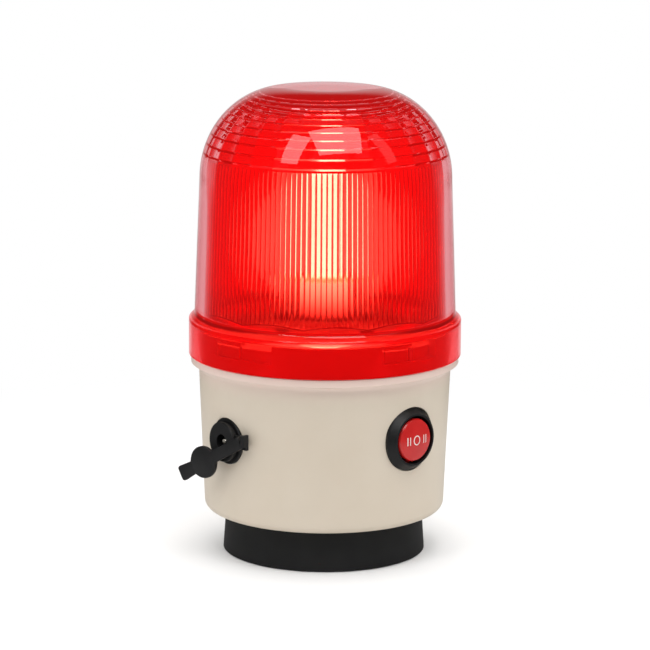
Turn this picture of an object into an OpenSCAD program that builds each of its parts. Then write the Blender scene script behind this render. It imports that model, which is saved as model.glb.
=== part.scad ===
// Magnetic warning beacon: a rechargeable rotating lamp on a magnet foot.
// Millimetres, +Z up, origin at the centre of the magnet foot's lower face.
// The front looks along -Y, with the charging socket at its left and the switch at its right.

/* [Magnet foot] */
// Radius of the rubber boot on the ground
boot_r = 37.35; // [36.5:0.05:39]
// Radius of the rubber boot at its top
boot_top_r = 36.3; // [35.5:0.05:38]
// Height of the boot, from the ground to the housing
boot_h = 15.5; // [13:0.5:19]
// Thickness of the boot's floor
boot_floor = 1.2; // [0.8:0.1:2]
// Radius of the steel pot inside the boot
pot_r = 34; // [32:0.1:34.5]
// Wall of the steel pot
pot_wall = 2.5; // [1.5:0.1:4]
// Thickness of the pot's top plate
pot_top = 3.2; // [2.5:0.1:5]
// Radius of the pot's centre pole
pole_r = 11; // [8:0.5:14]
// Air gap beside the ferrite ring
ring_gap = 0.4; // [0.2:0.1:1]

/* [Base housing] */
// Radius of the housing's side at its foot
base_low_r = 44.3; // [44:0.1:46]
// Radius of the housing's side under its rim
base_high_r = 46.3; // [45.5:0.1:47]
// Height of the rim's upper face above the ground
base_top = 73; // [71:0.5:77]
// Wall of the housing
base_wall = 2.5; // [2:0.1:3]
// Thickness of the housing's floor
base_floor = 3; // [2.5:0.1:4]
// Radius of the rounded edge at the housing's foot
base_edge = 3; // [1:0.5:4]
// Radius of the rim that the lens skirt stands on
rim_r = 49.2; // [48.5:0.1:50]
// Height of the rim's edge
rim_h = 2.5; // [1.5:0.1:3]
// Radius of the locking collar inside the lens skirt
collar_r = 46.5; // [46:0.1:47]
// Wall of the locking collar
collar_wall = 2.5; // [2:0.1:3]
// Height of the locking collar above the rim
collar_h = 11; // [9:0.5:12]

/* [Lens] */
// Wall of the lens skirt
skirt_wall = 3.1; // [2.9:0.1:4.5]
// Height of the skirt's straight side
skirt_h = 13.1; // [12:0.1:15]
// Radius of the skirt's rounded shoulder
skirt_edge = 2.4; // [1:0.1:2.6]
// Gap between the skirt and the rim
skirt_gap = 0.3; // [0.2:0.1:0.5]
// Gap between the skirt and the locking collar
collar_gap = 0.4; // [0.3:0.05:0.6]
// Radius of the lens wall above the skirt
lens_low_r = 47.9; // [47.5:0.1:48.5]
// Radius of the lens wall where the dome begins
lens_high_r = 46; // [45.6:0.1:47]
// Height above the ground where the dome begins
dome_from = 138.3; // [130:0.1:145]
// Height of the dome
dome_h = 33; // [28:0.5:36]
// Radius of the flat disc on top of the dome
crown_r = 15.3; // [12:0.1:20]
// Thickness of the dome
dome_wall = 3; // [2.5:0.1:3.5]
// Radius of the lens bore, at the foot of its ribs
lens_bore_r = 43.6; // [43:0.1:44.2]
// Number of upright ribs inside the lens
ribs = 150; // [90:2:180]
// Wall of the red filter between its ribs
filter_wall = 0.8; // [0.6:0.1:1.2]
// Depth of a rib
rib_d = 0.4; // [0.2:0.1:0.6]
// Number of scallops along the red filter's foot
scallops = 12; // [8:1:16]
// Height of a scallop
scallop_h = 1.3; // [1:0.1:2]
// Height above the ground where the ribs begin
rib_from = 90; // [89:0.5:95]
// Number of stepped rings inside the dome
rings = 11; // [8:1:14]
// Depth of a ring's step
ring_d = 0.5; // [0.3:0.1:0.8]
// Places of the four locking lugs around the skirt
lug_places = [33, -46, 122, -147];
// Width of a locking lug, in degrees
lug_turn = 14; // [8:1:16]
// Height of a locking lug above the rim
lug_at = 4.8; // [4:0.1:6]
// Height of a locking lug
lug_h = 4.8; // [3:0.1:5]
// Gap around a locking lug in its slot
lug_gap = 0.4; // [0.3:0.05:0.6]
// Turn that frees the lens, in degrees
twist = 15; // [12:1:20]

/* [Deck] */
// Height of the deck's underside above the rim
deck_at = 3; // [2:0.5:5]
// Thickness of the deck
deck_t = 2.5; // [2:0.1:3.5]
// Gap between the deck and the collar's bore
deck_gap = 0.4; // [0.2:0.1:1]
// Distance of the deck's bosses from the axis
boss_at = 38.4; // [37:0.1:38.6]
// Radius of the deck's bosses
boss_r = 3.2; // [2.8:0.1:3.5]

/* [Lamp] */
// Height of the reflector's focus and the lamp's middle above the ground
lamp_z = 115; // [112:0.5:118]
// Radius of the lamp post
post_r = 9; // [8.9:0.1:9.5]
// Radius of the lamp's metal cap
cap_r = 7.5; // [7.3:0.05:7.6]
// Gap between the lamp's cap and the post's bore
cap_gap = 0.2; // [0.1:0.05:0.3]
// Radius of the lamp's tubular glass
glass_r = 5.2; // [5:0.1:6]
// Height of the glass above the lamp's middle
glass_up = 23; // [14:0.5:25]
// Wall of the lamp's glass
glass_wall = 0.7; // [0.5:0.1:1]
// Height of the post above the deck
post_h = 22; // [20:0.5:24]

/* [Reflector drive] */
// Size of the gear teeth
gear_module = 1; // [0.9:0.05:1.05]
// Teeth of the reflector gear
gear_teeth = 40; // [38:1:42]
// Teeth of the motor's pinion
pinion_teeth = 14; // [14:1:16]
// Thickness of the gears
gear_t = 4; // [3:0.5:5]
// Play between the teeth
backlash = 0.2; // [0.1:0.05:0.3]
// Radial running gap of the gear on its bush
bush_gap = 0.05; // [0.03:0.01:0.1]
// Wall of the bush on the lamp post
bush_wall = 1.5; // [1:0.1:2]
// Focal length of the reflector
focus = 13; // [12.5:0.1:15]
// Radius of the reflector's mouth
dish_r = 27; // [22:0.5:30]
// Wall of the reflector
dish_wall = 1.4; // [1:0.1:2]
// Radius of the motor's can
motor_r = 12.2; // [10:0.1:12.5]
// Height of the motor
motor_h = 12.3; // [10:0.1:13]

/* [Battery] */
// Radius of a cell
cell_r = 9.2; // [7:0.05:9.3]
// Length of a cell
cell_l = 65; // [50:0.5:65.5]
// Gap between the two cells
cell_gap = 0.3; // [0.1:0.1:1]
// Wall of the battery tray
tray_wall = 1.2; // [1:0.1:1.4]

/* [Switch] */
// Place of the switch around the housing, in degrees
switch_az = 43.2; // [38:0.2:46]
// Height of the switch above the ground
switch_z = 48.4; // [48.3:0.1:52]
// Radius of the switch's bezel
bezel_r = 11.5; // [11:0.1:12]
// Height of the bezel above its seat
bezel_h = 3.5; // [2.5:0.1:4]
// Radius of the switch's barrel
barrel_r = 9.9; // [9.8:0.1:10]
// Radius of the opening around the rocker
rocker_hole_r = 8.75; // [8.6:0.05:8.8]
// Radius of the rocker
rocker_r = 7.75; // [7:0.05:7.8]
// Height of the rocker's crown above the bezel
rocker_crown = 0.9; // [0.4:0.1:1.5]

/* [Charging socket] */
// Place of the charging socket around the housing, in degrees
jack_az = -50.2; // [-54:0.2:-46]
// Height of the charging socket above the ground
jack_z = 46.3; // [46:0.1:50]
// Radius of the socket's rear flange
flange_r = 8.4; // [8:0.1:9]
// Radius of the socket's front flange
front_flange_r = 7.3; // [6.8:0.1:7.8]
// Height of the socket above its seat
jack_h = 3.4; // [3.2:0.1:4]
// Radius of the socket's bore
jack_bore_r = 2.8; // [2.75:0.05:3.2]
// Radius of the socket's centre pin
pin_r = 1.05; // [1:0.05:1.25]
// Thickness of the rubber cap and its strap
rubber_t = 1.6; // [1.2:0.1:2]
// Width of the rubber strap
strap_w = 4.4; // [3.5:0.1:5.5]
// Radius of the rubber cap's disc
cap_disc_r = 5.85; // [5:0.05:7]
// Length of the strap from its fold to the disc's centre
strap_l = 21; // [18:0.5:24]
// Slope of the strap, in degrees
strap_slope = 29.5; // [20:0.5:35]
// Outward lean of the strap, in degrees
strap_lean = 11; // [11:0.5:16]

/* [Hidden] */
$fn = 96;
eps = 0.01;
// Clearance of parts that are pushed together by hand
slip = 0.1;
// Clearance of a screw in its thread
thread_gap = 0.05;

base_z = boot_h;
floor_z = base_z + base_floor;
collar_top = base_top + collar_h;
cove_r = rim_r - base_high_r;
cove_z = base_top - rim_h - cove_r;
skirt_from = base_top + skirt_gap;
skirt_bore_r = collar_r + collar_gap;
skirt_r = skirt_bore_r + skirt_wall;
skirt_top = skirt_from + skirt_h;
dome_top = dome_from + dome_h;
shoulder_z = collar_top + 0.7;
deck_z = base_top + deck_at;
deck_top = deck_z + deck_t;
deck_r = collar_r - collar_wall - deck_gap;
boss_places = [0, 130, -130];
deck_thread_l = 8;
deck_head_r = 2.6;
deck_head_t = 1.8;
boss_rib_w = 2.4;
boss_rib_l = base_low_r - 0.15 - boss_at;
slot_turn = lug_turn + 1.4;
wall_cut = 12;

// Magnet screws
magnet_screw_places = [[14, 25], [-14, 25], [14, -25], [-14, -25]];
magnet_screw_r = 2;

// Lamp post
post_flange_t = 1.2;
post_flange_r = 13.8;
post_top = deck_top + post_h;
post_bore_r = cap_r + cap_gap;
spigot_r = 6.6;
spigot_l = 5;
carrier_z = deck_top + 1.5;
carrier_t = 2;
contact_r = 2.2;
contact_top = carrier_z + carrier_t + 1.2;
cap_from = contact_top + 1.5;
cap_top = lamp_z - 13;
bayonet_z = cap_from + 11;
bayonet_pin_r = 1;

// Lamp's stem, the two wires above it and the upright filament between them
stem_h = 7;
stem_r = 3.2;
cup_depth = 4;
cup_z = cap_top - cup_depth;
stem_top = cup_z + stem_h;
wire_x = 2.6;
wire_w = 0.6;
coil_r = 0.7;
coil_from = stem_top + 1.5;
coil_below_glass = 9.5;
coil_top = lamp_z + glass_up - coil_below_glass;

// Reflector gear and its bearing
washer_t = 0.5;
float = 0.1;
bush_r = post_r + bush_wall;
gear_bore_r = bush_r + bush_gap;
gear_z = deck_top + post_flange_t + washer_t + float;
hub_r = 13;
hub_h = 2.4;
hub_top = gear_z + gear_t + hub_h;
ring_t = 0.8;
ring_z = hub_top + float + 0.2;
ring_groove = 0.4;
pitch_r = gear_module * gear_teeth / 2;
pinion_pitch_r = gear_module * pinion_teeth / 2;
motor_y = pitch_r + pinion_pitch_r;
addendum = 0.85 * gear_module;
dedendum = 1.15 * gear_module;
pressure = 20;

// Reflector
vertex_y = focus;
foot_t = 2;
foot_z = gear_z + gear_t;
foot_in_r = hub_r + 0.4;
foot_out_r = pitch_r - 1.8;
dish_from = hub_top + ring_t + 1.1;
foot_screws = [[9, 13.2], [-9, 13.2]];
foot_screw_r = 1.1;
brace_x = 13.6;
brace_w = 2;
brace_in_y = 4.8;
brace_front_y = -3;
brace_back_y = 10.5;
brace_h = 13.5;

// Motor
motor_z = deck_z - motor_h;
motor_skin = 1;
motor_shaft_r = 1;
end_cap_t = 1.6;
magnet_t = 2.4;
rotor_gap = 0.5;
motor_inner_r = motor_r - motor_skin;
rotor_r = motor_inner_r - slip - magnet_t - rotor_gap;
motor_screw_places = [8, -8];
motor_screw_r = 1;
terminal_x = 5;

// Battery
cell_y = cell_r + cell_gap / 2;
tray_t = 1.2;
cell_z = floor_z + tray_t + cell_r + slip;
contact_t = 0.6;
tray_x = cell_l / 2 + contact_t + slip;
tray_y = cell_y + cell_r + slip;
tray_h = 12;
tray_screw_x = 20;
tray_screw_r = 1.3;

// Circuit board
board_t = 1.6;
board_y = 27.2;
board_w = 44;
board_z = floor_z + 4;
board_h = 36;
pillar_w = 6;
pillar_d = 5;
pillar_x = 18;
board_screw_r = 1.25;
board_screw_z = [board_z + 4.5, board_z + board_h - 4.5];
ways = 10;
way_pitch = 2.5;
connector_d = 6;
connector_h = 6;
connector_z = board_z + board_h - 8.5;

// Switch
switch_seat_r = base_low_r - 0.2;
switch_pad_r = 13.4;
switch_pad_in = 3.2;
barrel_l = 18;
barrel_floor = 4;
pivot_w = -1;
trunnion_r = 1.2;
trunnion_gap = 0.06;
rocker_skirt = 2.5;
blade_w = 4.8;
blade_t = 0.8;
blade_l = 6;
blade_x = [-6, 0, 6];

// Charging socket
jack_seat_r = base_low_r + 0.5;
jack_pad_r = 9.6;
jack_pad_in = 3.4;
flange_t = 1.1;
front_flange_t = 0.9;
groove_r = 5.9;
thread_r = 5.5;
thread_l = 13;
jack_bore_d = 11;
jack_floor_z = jack_h - jack_bore_d;
pin_back = 1.2;
pin_tip = 0.2;
pin_shank_r = pin_r + 0.25;
nut_t = 2.4;
nut_r = 8;
ring_out_r = 6.9;
fold_x = 12.2;
fold_y = 2.4;
fold_w = jack_h;
knuckle_r = rubber_t / 2;
fold_gap = 0.12;
tab_l = 12.6;
tab_w = 4.6;
nub_r = jack_bore_r - 0.15;
nub_l = 3;

// Tags of the charging socket
jack_tag_x = 3.2;
jack_tag_l = 4;

// Leads
lead_r = 0.7;
lead_sides = 8;

// Points of an arc from one angle to another
function arc(c, rx, ry, a0, a1, n) =
    [for (i = [0:n]) let (a = a0 + (a1 - a0) * i / n) [c.x + rx * cos(a), c.y + ry * sin(a)]];

// A point at a radius and a place around the axis, with 0 at the front
function around(r, az) = [r * sin(az), -r * cos(az)];

// Outline of the housing's outside, without the collar
base_outline = concat(
    [[0, base_z]],
    arc([base_low_r - base_edge, base_z + base_edge], base_edge, base_edge, -90, 0, 6),
    arc([rim_r, cove_z], cove_r, cove_r, 180, 90, 6),
    [[rim_r, base_top], [0, base_top]]);

// Half section of the lens's outside
lens_outside = concat(
    [[0, skirt_from], [skirt_r, skirt_from]],
    arc([skirt_r - skirt_edge, skirt_top], skirt_edge, skirt_edge, 0, 80, 5),
    [[lens_low_r, skirt_top + skirt_edge]],
    arc([crown_r, dome_from], lens_high_r - crown_r, dome_h, 0, 90, 24),
    [[0, dome_top]]);

// A point on the dome's inside, at a share of the way up, and a step in from it
dome_in_x = lens_bore_r - crown_r;
dome_in_z = dome_h - dome_wall;
rib_top = dome_from + 6;
function dome_in(a, d) = [crown_r + (dome_in_x - d) * cos(a), dome_from + (dome_in_z - d) * sin(a)];
ring_start = asin((rib_top - dome_from) / dome_in_z);

// Half section of the lens's smooth hollow
lens_hollow = concat(
    [[0, skirt_from - eps], [skirt_bore_r, skirt_from - eps], [skirt_bore_r, shoulder_z],
        [lens_bore_r, shoulder_z]],
    arc([crown_r, dome_from], dome_in_x, dome_in_z, 0, 90, 24),
    [[0, dome_from + dome_in_z]]);

// Half section of the red filter's outside
filter_outside = concat(
    [[0, rib_from], [lens_bore_r - slip, rib_from]],
    arc([crown_r, dome_from], dome_in_x - slip, dome_in_z - slip, 0, 90, 24),
    [[0, dome_from + dome_in_z - slip]]);

// Half section of the red filter's hollow, with stepped rings in the dome
filter_in = slip + filter_wall;
filter_inside = concat(
    [[0, rib_from - eps], [lens_bore_r - filter_in, rib_from - eps]],
    [for (i = [0:4]) dome_in(ring_start * i / 4, filter_in)],
    [for (i = [0:rings - 1], s = [0, 1])
        let (a = ring_start + (88 - ring_start) * (i + s) / rings) dome_in(a, filter_in + (s ? ring_d : 0))],
    [[0, dome_from + dome_in_z - filter_in - ring_d]]);

// Moves a piece to the housing's wall: x to the right, y up, z outward from the seat
module on_wall(az, z, r) {
    rotate([0, 0, az]) translate([0, -r, z]) rotate([90, 0, 0]) children();
}

// Copies a piece to places around the axis
module ring_places(places, r) {
    for (az = places) rotate([0, 0, az]) translate([0, -r, 0]) children();
}

// A ring sector between two radii, centred at a place around the axis
module sector(r0, r1, h, az, turn) {
    rotate([0, 0, az - 90 - turn / 2])
        rotate_extrude(angle = turn) translate([r0, 0]) square([r1 - r0, h]);
}

// A round tube
module tube(r0, r1, h) {
    difference() {
        cylinder(r = r1, h = h);
        translate([0, 0, -1]) cylinder(r = r0, h = h + 2);
    }
}

// A pan-head screw that stands on z = 0 and points down, with a cross recess
module screw(r, l, head_r, head_h) {
    difference() {
        union() {
            rotate_extrude() polygon([[0, 0], [head_r, 0], [head_r, head_h * 0.5],
                [head_r * 0.7, head_h * 0.9], [head_r * 0.4, head_h], [0, head_h]]);
            translate([0, 0, -l]) cylinder(r = r, h = l + eps, $fn = 32);
        }
        for (a = [0, 90]) rotate([0, 0, a]) translate([-head_r * 0.55, -head_r * 0.11, head_h * 0.45])
            cube([head_r * 1.1, head_r * 0.22, head_h]);
    }
}

// Involute spur gear, with a tooth centred on +X
function involute(rb, t) = let (d = t * 180 / PI) rb * [cos(d) + t * sin(d), sin(d) - t * cos(d)];
function flank(rb, r) = let (t = sqrt(max(0, (r / rb) ^ 2 - 1))) involute(rb, t);
function turned(p, a) = [p.x * cos(a) - p.y * sin(a), p.x * sin(a) + p.y * cos(a)];
function tooth_half(n) = 90 / n - backlash / 2 / (gear_module * n / 2) * 180 / PI / 2;
function gear_points(n) = let (
        rp = gear_module * n / 2, rb = rp * cos(pressure), ra = rp + addendum, rf = rp - dedendum,
        pf = flank(rb, rp), shift = tooth_half(n) + atan2(pf.y, pf.x),
        r0 = max(rb, rf + 0.1), steps = 4,
        side = [for (i = [0:steps]) flank(rb, r0 + (ra - r0) * i / steps)],
        half = concat([turned([rf, 0], -shift - 0.5)], [for (p = side) turned(p, -shift)]))
    [for (k = [0:n - 1], s = [0, 1], i = [0:len(half) - 1])
        let (p = s ? half[len(half) - 1 - i] : half[i]) turned([p.x, s ? -p.y : p.y], 360 * k / n)];

// A round lead swept along its points
function unit(v) = v / norm(v);
function lead_dir(p, i) = unit(i == 0 ? p[1] - p[0] : i == len(p) - 1 ? p[i] - p[i - 1]
    : unit(p[i] - p[i - 1]) + unit(p[i + 1] - p[i]));
function next_side(d, old) = unit(old - d * (old * d));
function lead_sides_at(p, i, old) = i == len(p) ? []
    : let (s = next_side(lead_dir(p, i), old)) concat([s], lead_sides_at(p, i + 1, s));
function between(a, b, c, d, t) = 0.5 * (2 * b + (c - a) * t + (2 * a - 5 * b + 4 * c - d) * t ^ 2
    + (3 * b - a - 3 * c + d) * t ^ 3);
function smooth(p, n) = concat([for (i = [0:len(p) - 2], k = [0:n - 1])
    between(p[max(0, i - 1)], p[i], p[i + 1], p[min(len(p) - 1, i + 2)], k / n)], [p[len(p) - 1]]);
module lead(route) {
    last = len(route) - 1;
    p = concat([route[0]], smooth([for (i = [1:last - 1]) route[i]], 3), [route[last]]);
    n = len(p);
    first = lead_dir(p, 0);
    side = lead_sides_at(p, 0, unit(cross(first, abs(first.z) > 0.9 ? [1, 0, 0] : [0, 0, 1])));
    pts = [for (i = [0:n - 1], k = [0:lead_sides - 1])
        let (a = 360 * k / lead_sides, s = side[i], u = cross(lead_dir(p, i), s))
        p[i] + lead_r * (cos(a) * s + sin(a) * u)];
    faces = concat(
        [[for (k = [0:lead_sides - 1]) lead_sides - 1 - k]],
        [for (i = [0:n - 2], k = [0:lead_sides - 1])
            let (a = i * lead_sides + k, b = i * lead_sides + (k + 1) % lead_sides)
            [a, b, b + lead_sides, a + lead_sides]],
        [[for (k = [0:lead_sides - 1]) (n - 1) * lead_sides + k]]);
    polyhedron(pts, [for (f = faces) [for (i = [len(f) - 1:-1:0]) f[i]]]);
}
function way_x(i) = (i - (ways - 1) / 2) * way_pitch;
function way(i) = [way_x(i), board_y - connector_d, connector_z + connector_h / 2];
function wall_point(az, z, r, p) = let (q = around(r + p.z, az)) [q.x + p.x * cos(az),
    q.y + p.x * sin(az), z + p.y];

// Rubber boot that covers the magnet's face and side
module magnet_boot() {
    color("#1c1c1d") difference() {
        cylinder(r1 = boot_r, r2 = boot_top_r, h = boot_h);
        translate([0, 0, boot_floor]) cylinder(r = pot_r + slip, h = boot_h);
    }
}

// Steel pot, open downward, with its centre pole
module magnet_pot() {
    color("#8d9094") difference() {
        union() {
            translate([0, 0, boot_h - pot_top]) cylinder(r = pot_r, h = pot_top);
            translate([0, 0, boot_floor]) tube(pot_r - pot_wall, pot_r, boot_h - pot_top - boot_floor + eps);
            translate([0, 0, boot_floor]) cylinder(r = pole_r, h = boot_h - pot_top - boot_floor + eps);
        }
        for (p = magnet_screw_places) translate([p.x, p.y, boot_h - pot_top - 1])
            cylinder(r = magnet_screw_r + thread_gap, h = pot_top + 2);
    }
}

// Ferrite ring between the pot's pole and wall
module magnet_ring() {
    color("#3a3b3d") translate([0, 0, boot_floor])
        tube(pole_r + ring_gap, pot_r - pot_wall - ring_gap, boot_h - pot_top - boot_floor);
}

// Screws that hold the housing on the pot
module magnet_screws() {
    color("#c4c6c8") for (p = magnet_screw_places) translate([p.x, p.y, floor_z])
        screw(magnet_screw_r, base_floor + pot_top - 0.4, 3.6, 2.4);
}

// Cream housing with its rim, locking collar, bosses and pillars
module base_housing() {
    color("#d9cfc0") difference() {
        union() {
            difference() {
                union() {
                    rotate_extrude() polygon(base_outline);
                    translate([0, 0, base_top - 1]) cylinder(r = collar_r, h = collar_h + 1);
                }
                rotate_extrude() polygon([[0, floor_z], [base_low_r - base_wall, floor_z],
                    [collar_r - collar_wall, base_top], [collar_r - collar_wall, collar_top + 1],
                    [0, collar_top + 1]]);
            }
            intersection() {
                rotate_extrude() polygon(base_outline);
                union() {
                    on_wall(switch_az, switch_z, switch_seat_r - switch_pad_in)
                        cylinder(r = switch_pad_r, h = 8);
                    on_wall(jack_az, jack_z, jack_seat_r - jack_pad_in) cylinder(r = jack_pad_r, h = 8);
                }
            }
            ring_places(boss_places, boss_at) {
                translate([0, 0, floor_z - 1]) cylinder(r = boss_r, h = deck_z - floor_z + 1);
                translate([-boss_rib_w / 2, -boss_rib_l, floor_z - 1])
                    cube([boss_rib_w, boss_rib_l, deck_z - floor_z + 1]);
            }
            for (s = [-1, 1]) translate([s * pillar_x - pillar_w / 2, board_y + board_t, floor_z - 1])
                cube([pillar_w, pillar_d, board_z + board_h - floor_z + 1]);
        }
        // Seats and holes of the switch and the charging socket
        on_wall(switch_az, switch_z, switch_seat_r) {
            cylinder(r = bezel_r + 0.3, h = 8);
            translate([0, 0, -wall_cut]) cylinder(r = barrel_r + slip, h = wall_cut + 2);
        }
        on_wall(jack_az, jack_z, jack_seat_r) {
            cylinder(r = flange_r + 0.2, h = 8);
            translate([0, 0, -wall_cut]) cylinder(r = thread_r + slip, h = wall_cut + 2);
        }
        // Slots of the locking lugs
        for (az = lug_places) {
            translate([0, 0, base_top + lug_at - lug_gap])
                sector(collar_r - collar_wall - 1, collar_r + 1, lug_h + 2 * lug_gap,
                    az + (twist + 1 - slot_turn) / 2, twist + 1);
            translate([0, 0, base_top + lug_at - lug_gap])
                sector(collar_r - collar_wall - 1, collar_r + 1, collar_h, az + twist, slot_turn);
        }
        // Groove of the gasket
        translate([0, 0, base_top - gasket_h + gasket_up]) tube(gasket_in_r, gasket_in_r + gasket_w, 5);
        // Holes of the screws
        for (p = magnet_screw_places) translate([p.x, p.y, base_z - 1])
            cylinder(r = magnet_screw_r + 0.2, h = base_floor + 2);
        ring_places(boss_places, boss_at) translate([0, 0, deck_z - 10])
            cylinder(r = deck_screw_r + thread_gap, h = 11);
        for (s = [-1, 1], z = board_screw_z) translate([s * pillar_x, board_y + board_t - 1, z])
            rotate([-90, 0, 0]) cylinder(r = board_screw_r + thread_gap, h = pillar_d);
        for (s = [-1, 1]) translate([s * tray_screw_x, 0, floor_z - 2.2])
            cylinder(r = tray_screw_r + thread_gap, h = 4);
    }
}
gasket_in_r = collar_r + 0.9;
gasket_w = 1.4;
gasket_h = 1;
gasket_up = 0.15;
deck_screw_r = 1.5;

// Clear lens with its skirt, dome and locking lugs
module lens() {
    color("#f0a8ac", 0.4) union() {
        difference() {
            rotate_extrude() polygon(lens_outside);
            rotate_extrude() polygon(lens_hollow);
        }
        for (az = lug_places) translate([0, 0, base_top + lug_at])
            sector(collar_r - 1.9, skirt_bore_r + 0.6, lug_h, az, lug_turn);
    }
}

// Red filter inside the lens, with upright ribs, stepped rings and a scalloped foot
module red_filter() {
    rib_in = lens_bore_r - filter_in;
    rib_out = rib_in + filter_wall / 8;
    scallop_w = 2 * rib_in * sin(180 / scallops);
    scallop_r = scallop_w * scallop_w / (8 * scallop_h) + scallop_h / 2;
    color("#e11410", 0.75) difference() {
        union() {
            difference() {
                rotate_extrude() polygon(filter_outside);
                rotate_extrude() polygon(filter_inside);
            }
            translate([0, 0, rib_from]) linear_extrude(rib_top - rib_from) difference() {
                circle(r = rib_out);
                polygon([for (i = [0:2 * ribs - 1]) let (a = 180 * i / ribs,
                    r = rib_in - (i % 2 ? rib_d : 0.02)) [r * cos(a), r * sin(a)]]);
            }
        }
        for (i = [0:scallops - 1]) rotate([0, 0, 360 * i / scallops])
            translate([0, -rib_in / 2, rib_from + scallop_h - scallop_r]) rotate([90, 0, 0])
                cylinder(r = scallop_r, h = rib_in);
    }
}

// Rubber gasket in the rim's groove
module lens_gasket() {
    color("#2b2b2b") translate([0, 0, base_top - gasket_h + gasket_up])
        tube(gasket_in_r + 0.1, gasket_in_r + gasket_w - 0.1, gasket_h);
}

// White deck that carries the lamp post and the motor
module chassis_deck() {
    color("#eceae4") difference() {
        union() {
            translate([0, 0, deck_z]) cylinder(r = deck_r, h = deck_t);
            translate([0, 0, deck_z]) tube(deck_r - 1.5, deck_r, deck_t + 3);
        }
        translate([0, 0, deck_z - 1]) cylinder(r = spigot_r + slip, h = deck_t + 2);
        ring_places(boss_places, boss_at) translate([0, 0, deck_z - 1])
            cylinder(r = deck_screw_r + 0.2, h = deck_t + 2);
        translate([0, motor_y, deck_z - 1]) cylinder(r = 3.2, h = deck_t + 2);
        for (x = motor_screw_places) translate([x, motor_y, deck_z - 1]) {
            cylinder(r = motor_screw_r + 0.2, h = deck_t + 2);
            translate([0, 0, deck_t - 0.2]) cylinder(r = 2.2, h = 2);
        }
        for (x = [-10.5, 10.5]) translate([x, 0, deck_z - 1])
            cylinder(r = foot_screw_r + 0.15 + thread_gap, h = deck_t + 2);
    }
}

// Screws that hold the deck on its bosses
module deck_screws() {
    color("#c4c6c8") ring_places(boss_places, boss_at) translate([0, 0, deck_top])
        screw(deck_screw_r, deck_t + deck_thread_l, deck_head_r, deck_head_t);
}

// Post that holds the lamp, with its flange, spigot and bayonet slots
module lamp_post() {
    slot_w = 2 * bayonet_pin_r + 0.5;
    color("#c9ccd0") difference() {
        union() {
            translate([0, 0, deck_top]) cylinder(r = post_flange_r, h = post_flange_t);
            translate([0, 0, deck_top]) cylinder(r = post_r, h = post_h);
            translate([0, 0, deck_z - spigot_l]) cylinder(r = spigot_r, h = spigot_l + deck_t + eps);
        }
        translate([0, 0, carrier_z]) cylinder(r = post_bore_r, h = post_h + 1);
        translate([0, 0, deck_z - spigot_l - 1]) cylinder(r = spigot_r - 1.4, h = spigot_l + deck_t + 3);
        for (a = [0, 180]) rotate([0, 0, a]) {
            translate([0, -slot_w / 2, bayonet_z - bayonet_pin_r - 0.25]) cube([post_r + 1, slot_w, post_h]);
        }
        translate([0, 0, ring_z - 0.05]) tube(post_r - ring_groove, post_r + 2, ring_t + 0.1);
        for (x = [-10.5, 10.5]) translate([x, 0, deck_top - 1])
            cylinder(r = foot_screw_r + 0.15, h = post_flange_t + 2);
    }
}

// Flat screws that hold the post's flange on the deck, from below
module post_screws() {
    color("#c4c6c8") for (x = [-10.5, 10.5]) translate([x, 0, deck_z]) rotate([180, 0, 0])
        screw(foot_screw_r, deck_t + post_flange_t - 0.3, 2, 1.3);
}

// Insulating disc at the bottom of the post's bore
module contact_carrier() {
    color("#d8c9a0") translate([0, 0, carrier_z]) tube(contact_r + slip, post_bore_r - slip, carrier_t);
}

// Spring contact under the lamp
module lamp_contact() {
    color("#c9a24a") {
        translate([0, 0, deck_z - spigot_l + 1])
            cylinder(r = contact_r, h = contact_top - deck_z + spigot_l - 1);
        translate([0, 0, carrier_z - 1]) cylinder(r = contact_r + 1, h = 1);
    }
}

// Metal cap of the lamp, with two bayonet pins and its bottom contact
module bulb_cap() {
    color("#b9a26a") {
        difference() {
            translate([0, 0, cap_from]) cylinder(r = cap_r, h = cap_top - cap_from);
            translate([0, 0, cup_z]) cylinder(r = glass_r + slip, h = cup_depth + 1);
        }
        translate([0, 0, contact_top]) cylinder(r = 1.8, h = 1.6);
        for (a = [0, 180]) rotate([0, 0, a]) translate([cap_r - 1, 0, bayonet_z]) rotate([0, 90, 0])
            cylinder(r = bayonet_pin_r, h = post_r - cap_r + 1.2, $fn = 32);
    }
}

// Outline of the lamp's glass, a tube with a round end
function glass_outline(d) = concat([[glass_r - d, cup_z]],
    arc([0, lamp_z + glass_up - glass_r], glass_r - d, glass_r - d, 0, 90, 12));

// Glass envelope of the lamp
module bulb_glass() {
    color("#f4f4f0", 0.4) rotate_extrude() polygon(concat(glass_outline(0),
        [for (i = [len(glass_outline(0)) - 1:-1:0]) glass_outline(glass_wall)[i]]));
}

// Glass stem that holds the filament's wires
module bulb_stem() {
    color("#e8ecec") translate([0, 0, cup_z]) cylinder(r1 = stem_r, r2 = 1.6, h = stem_h);
}

// Upright filament with a short wire below it and a tall wire to its top
module bulb_filament() {
    color("#d8d2c4") {
        translate([0, 0, coil_from]) cylinder(r = coil_r, h = coil_top + wire_w / 2 - coil_from, $fn = 24);
        translate([-wire_w / 2, -wire_w / 2, stem_top]) cube([wire_w, wire_w, coil_from - stem_top + 1]);
        translate([0.7, -wire_w / 2, stem_top]) cube([wire_x - 0.7, wire_w, wire_w]);
        translate([wire_x - wire_w / 2, -wire_w / 2, stem_top])
            cube([wire_w, wire_w, coil_top + 0.8 - stem_top]);
        translate([-wire_w / 2, -wire_w / 2, coil_top]) cube([wire_x, wire_w, wire_w]);
    }
}

// Bush that the reflector gear turns on
module bearing_bush() {
    color("#c79a52") translate([0, 0, deck_top + post_flange_t])
        tube(post_r + 0.02, bush_r, hub_top - deck_top - post_flange_t + float);
}

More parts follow.
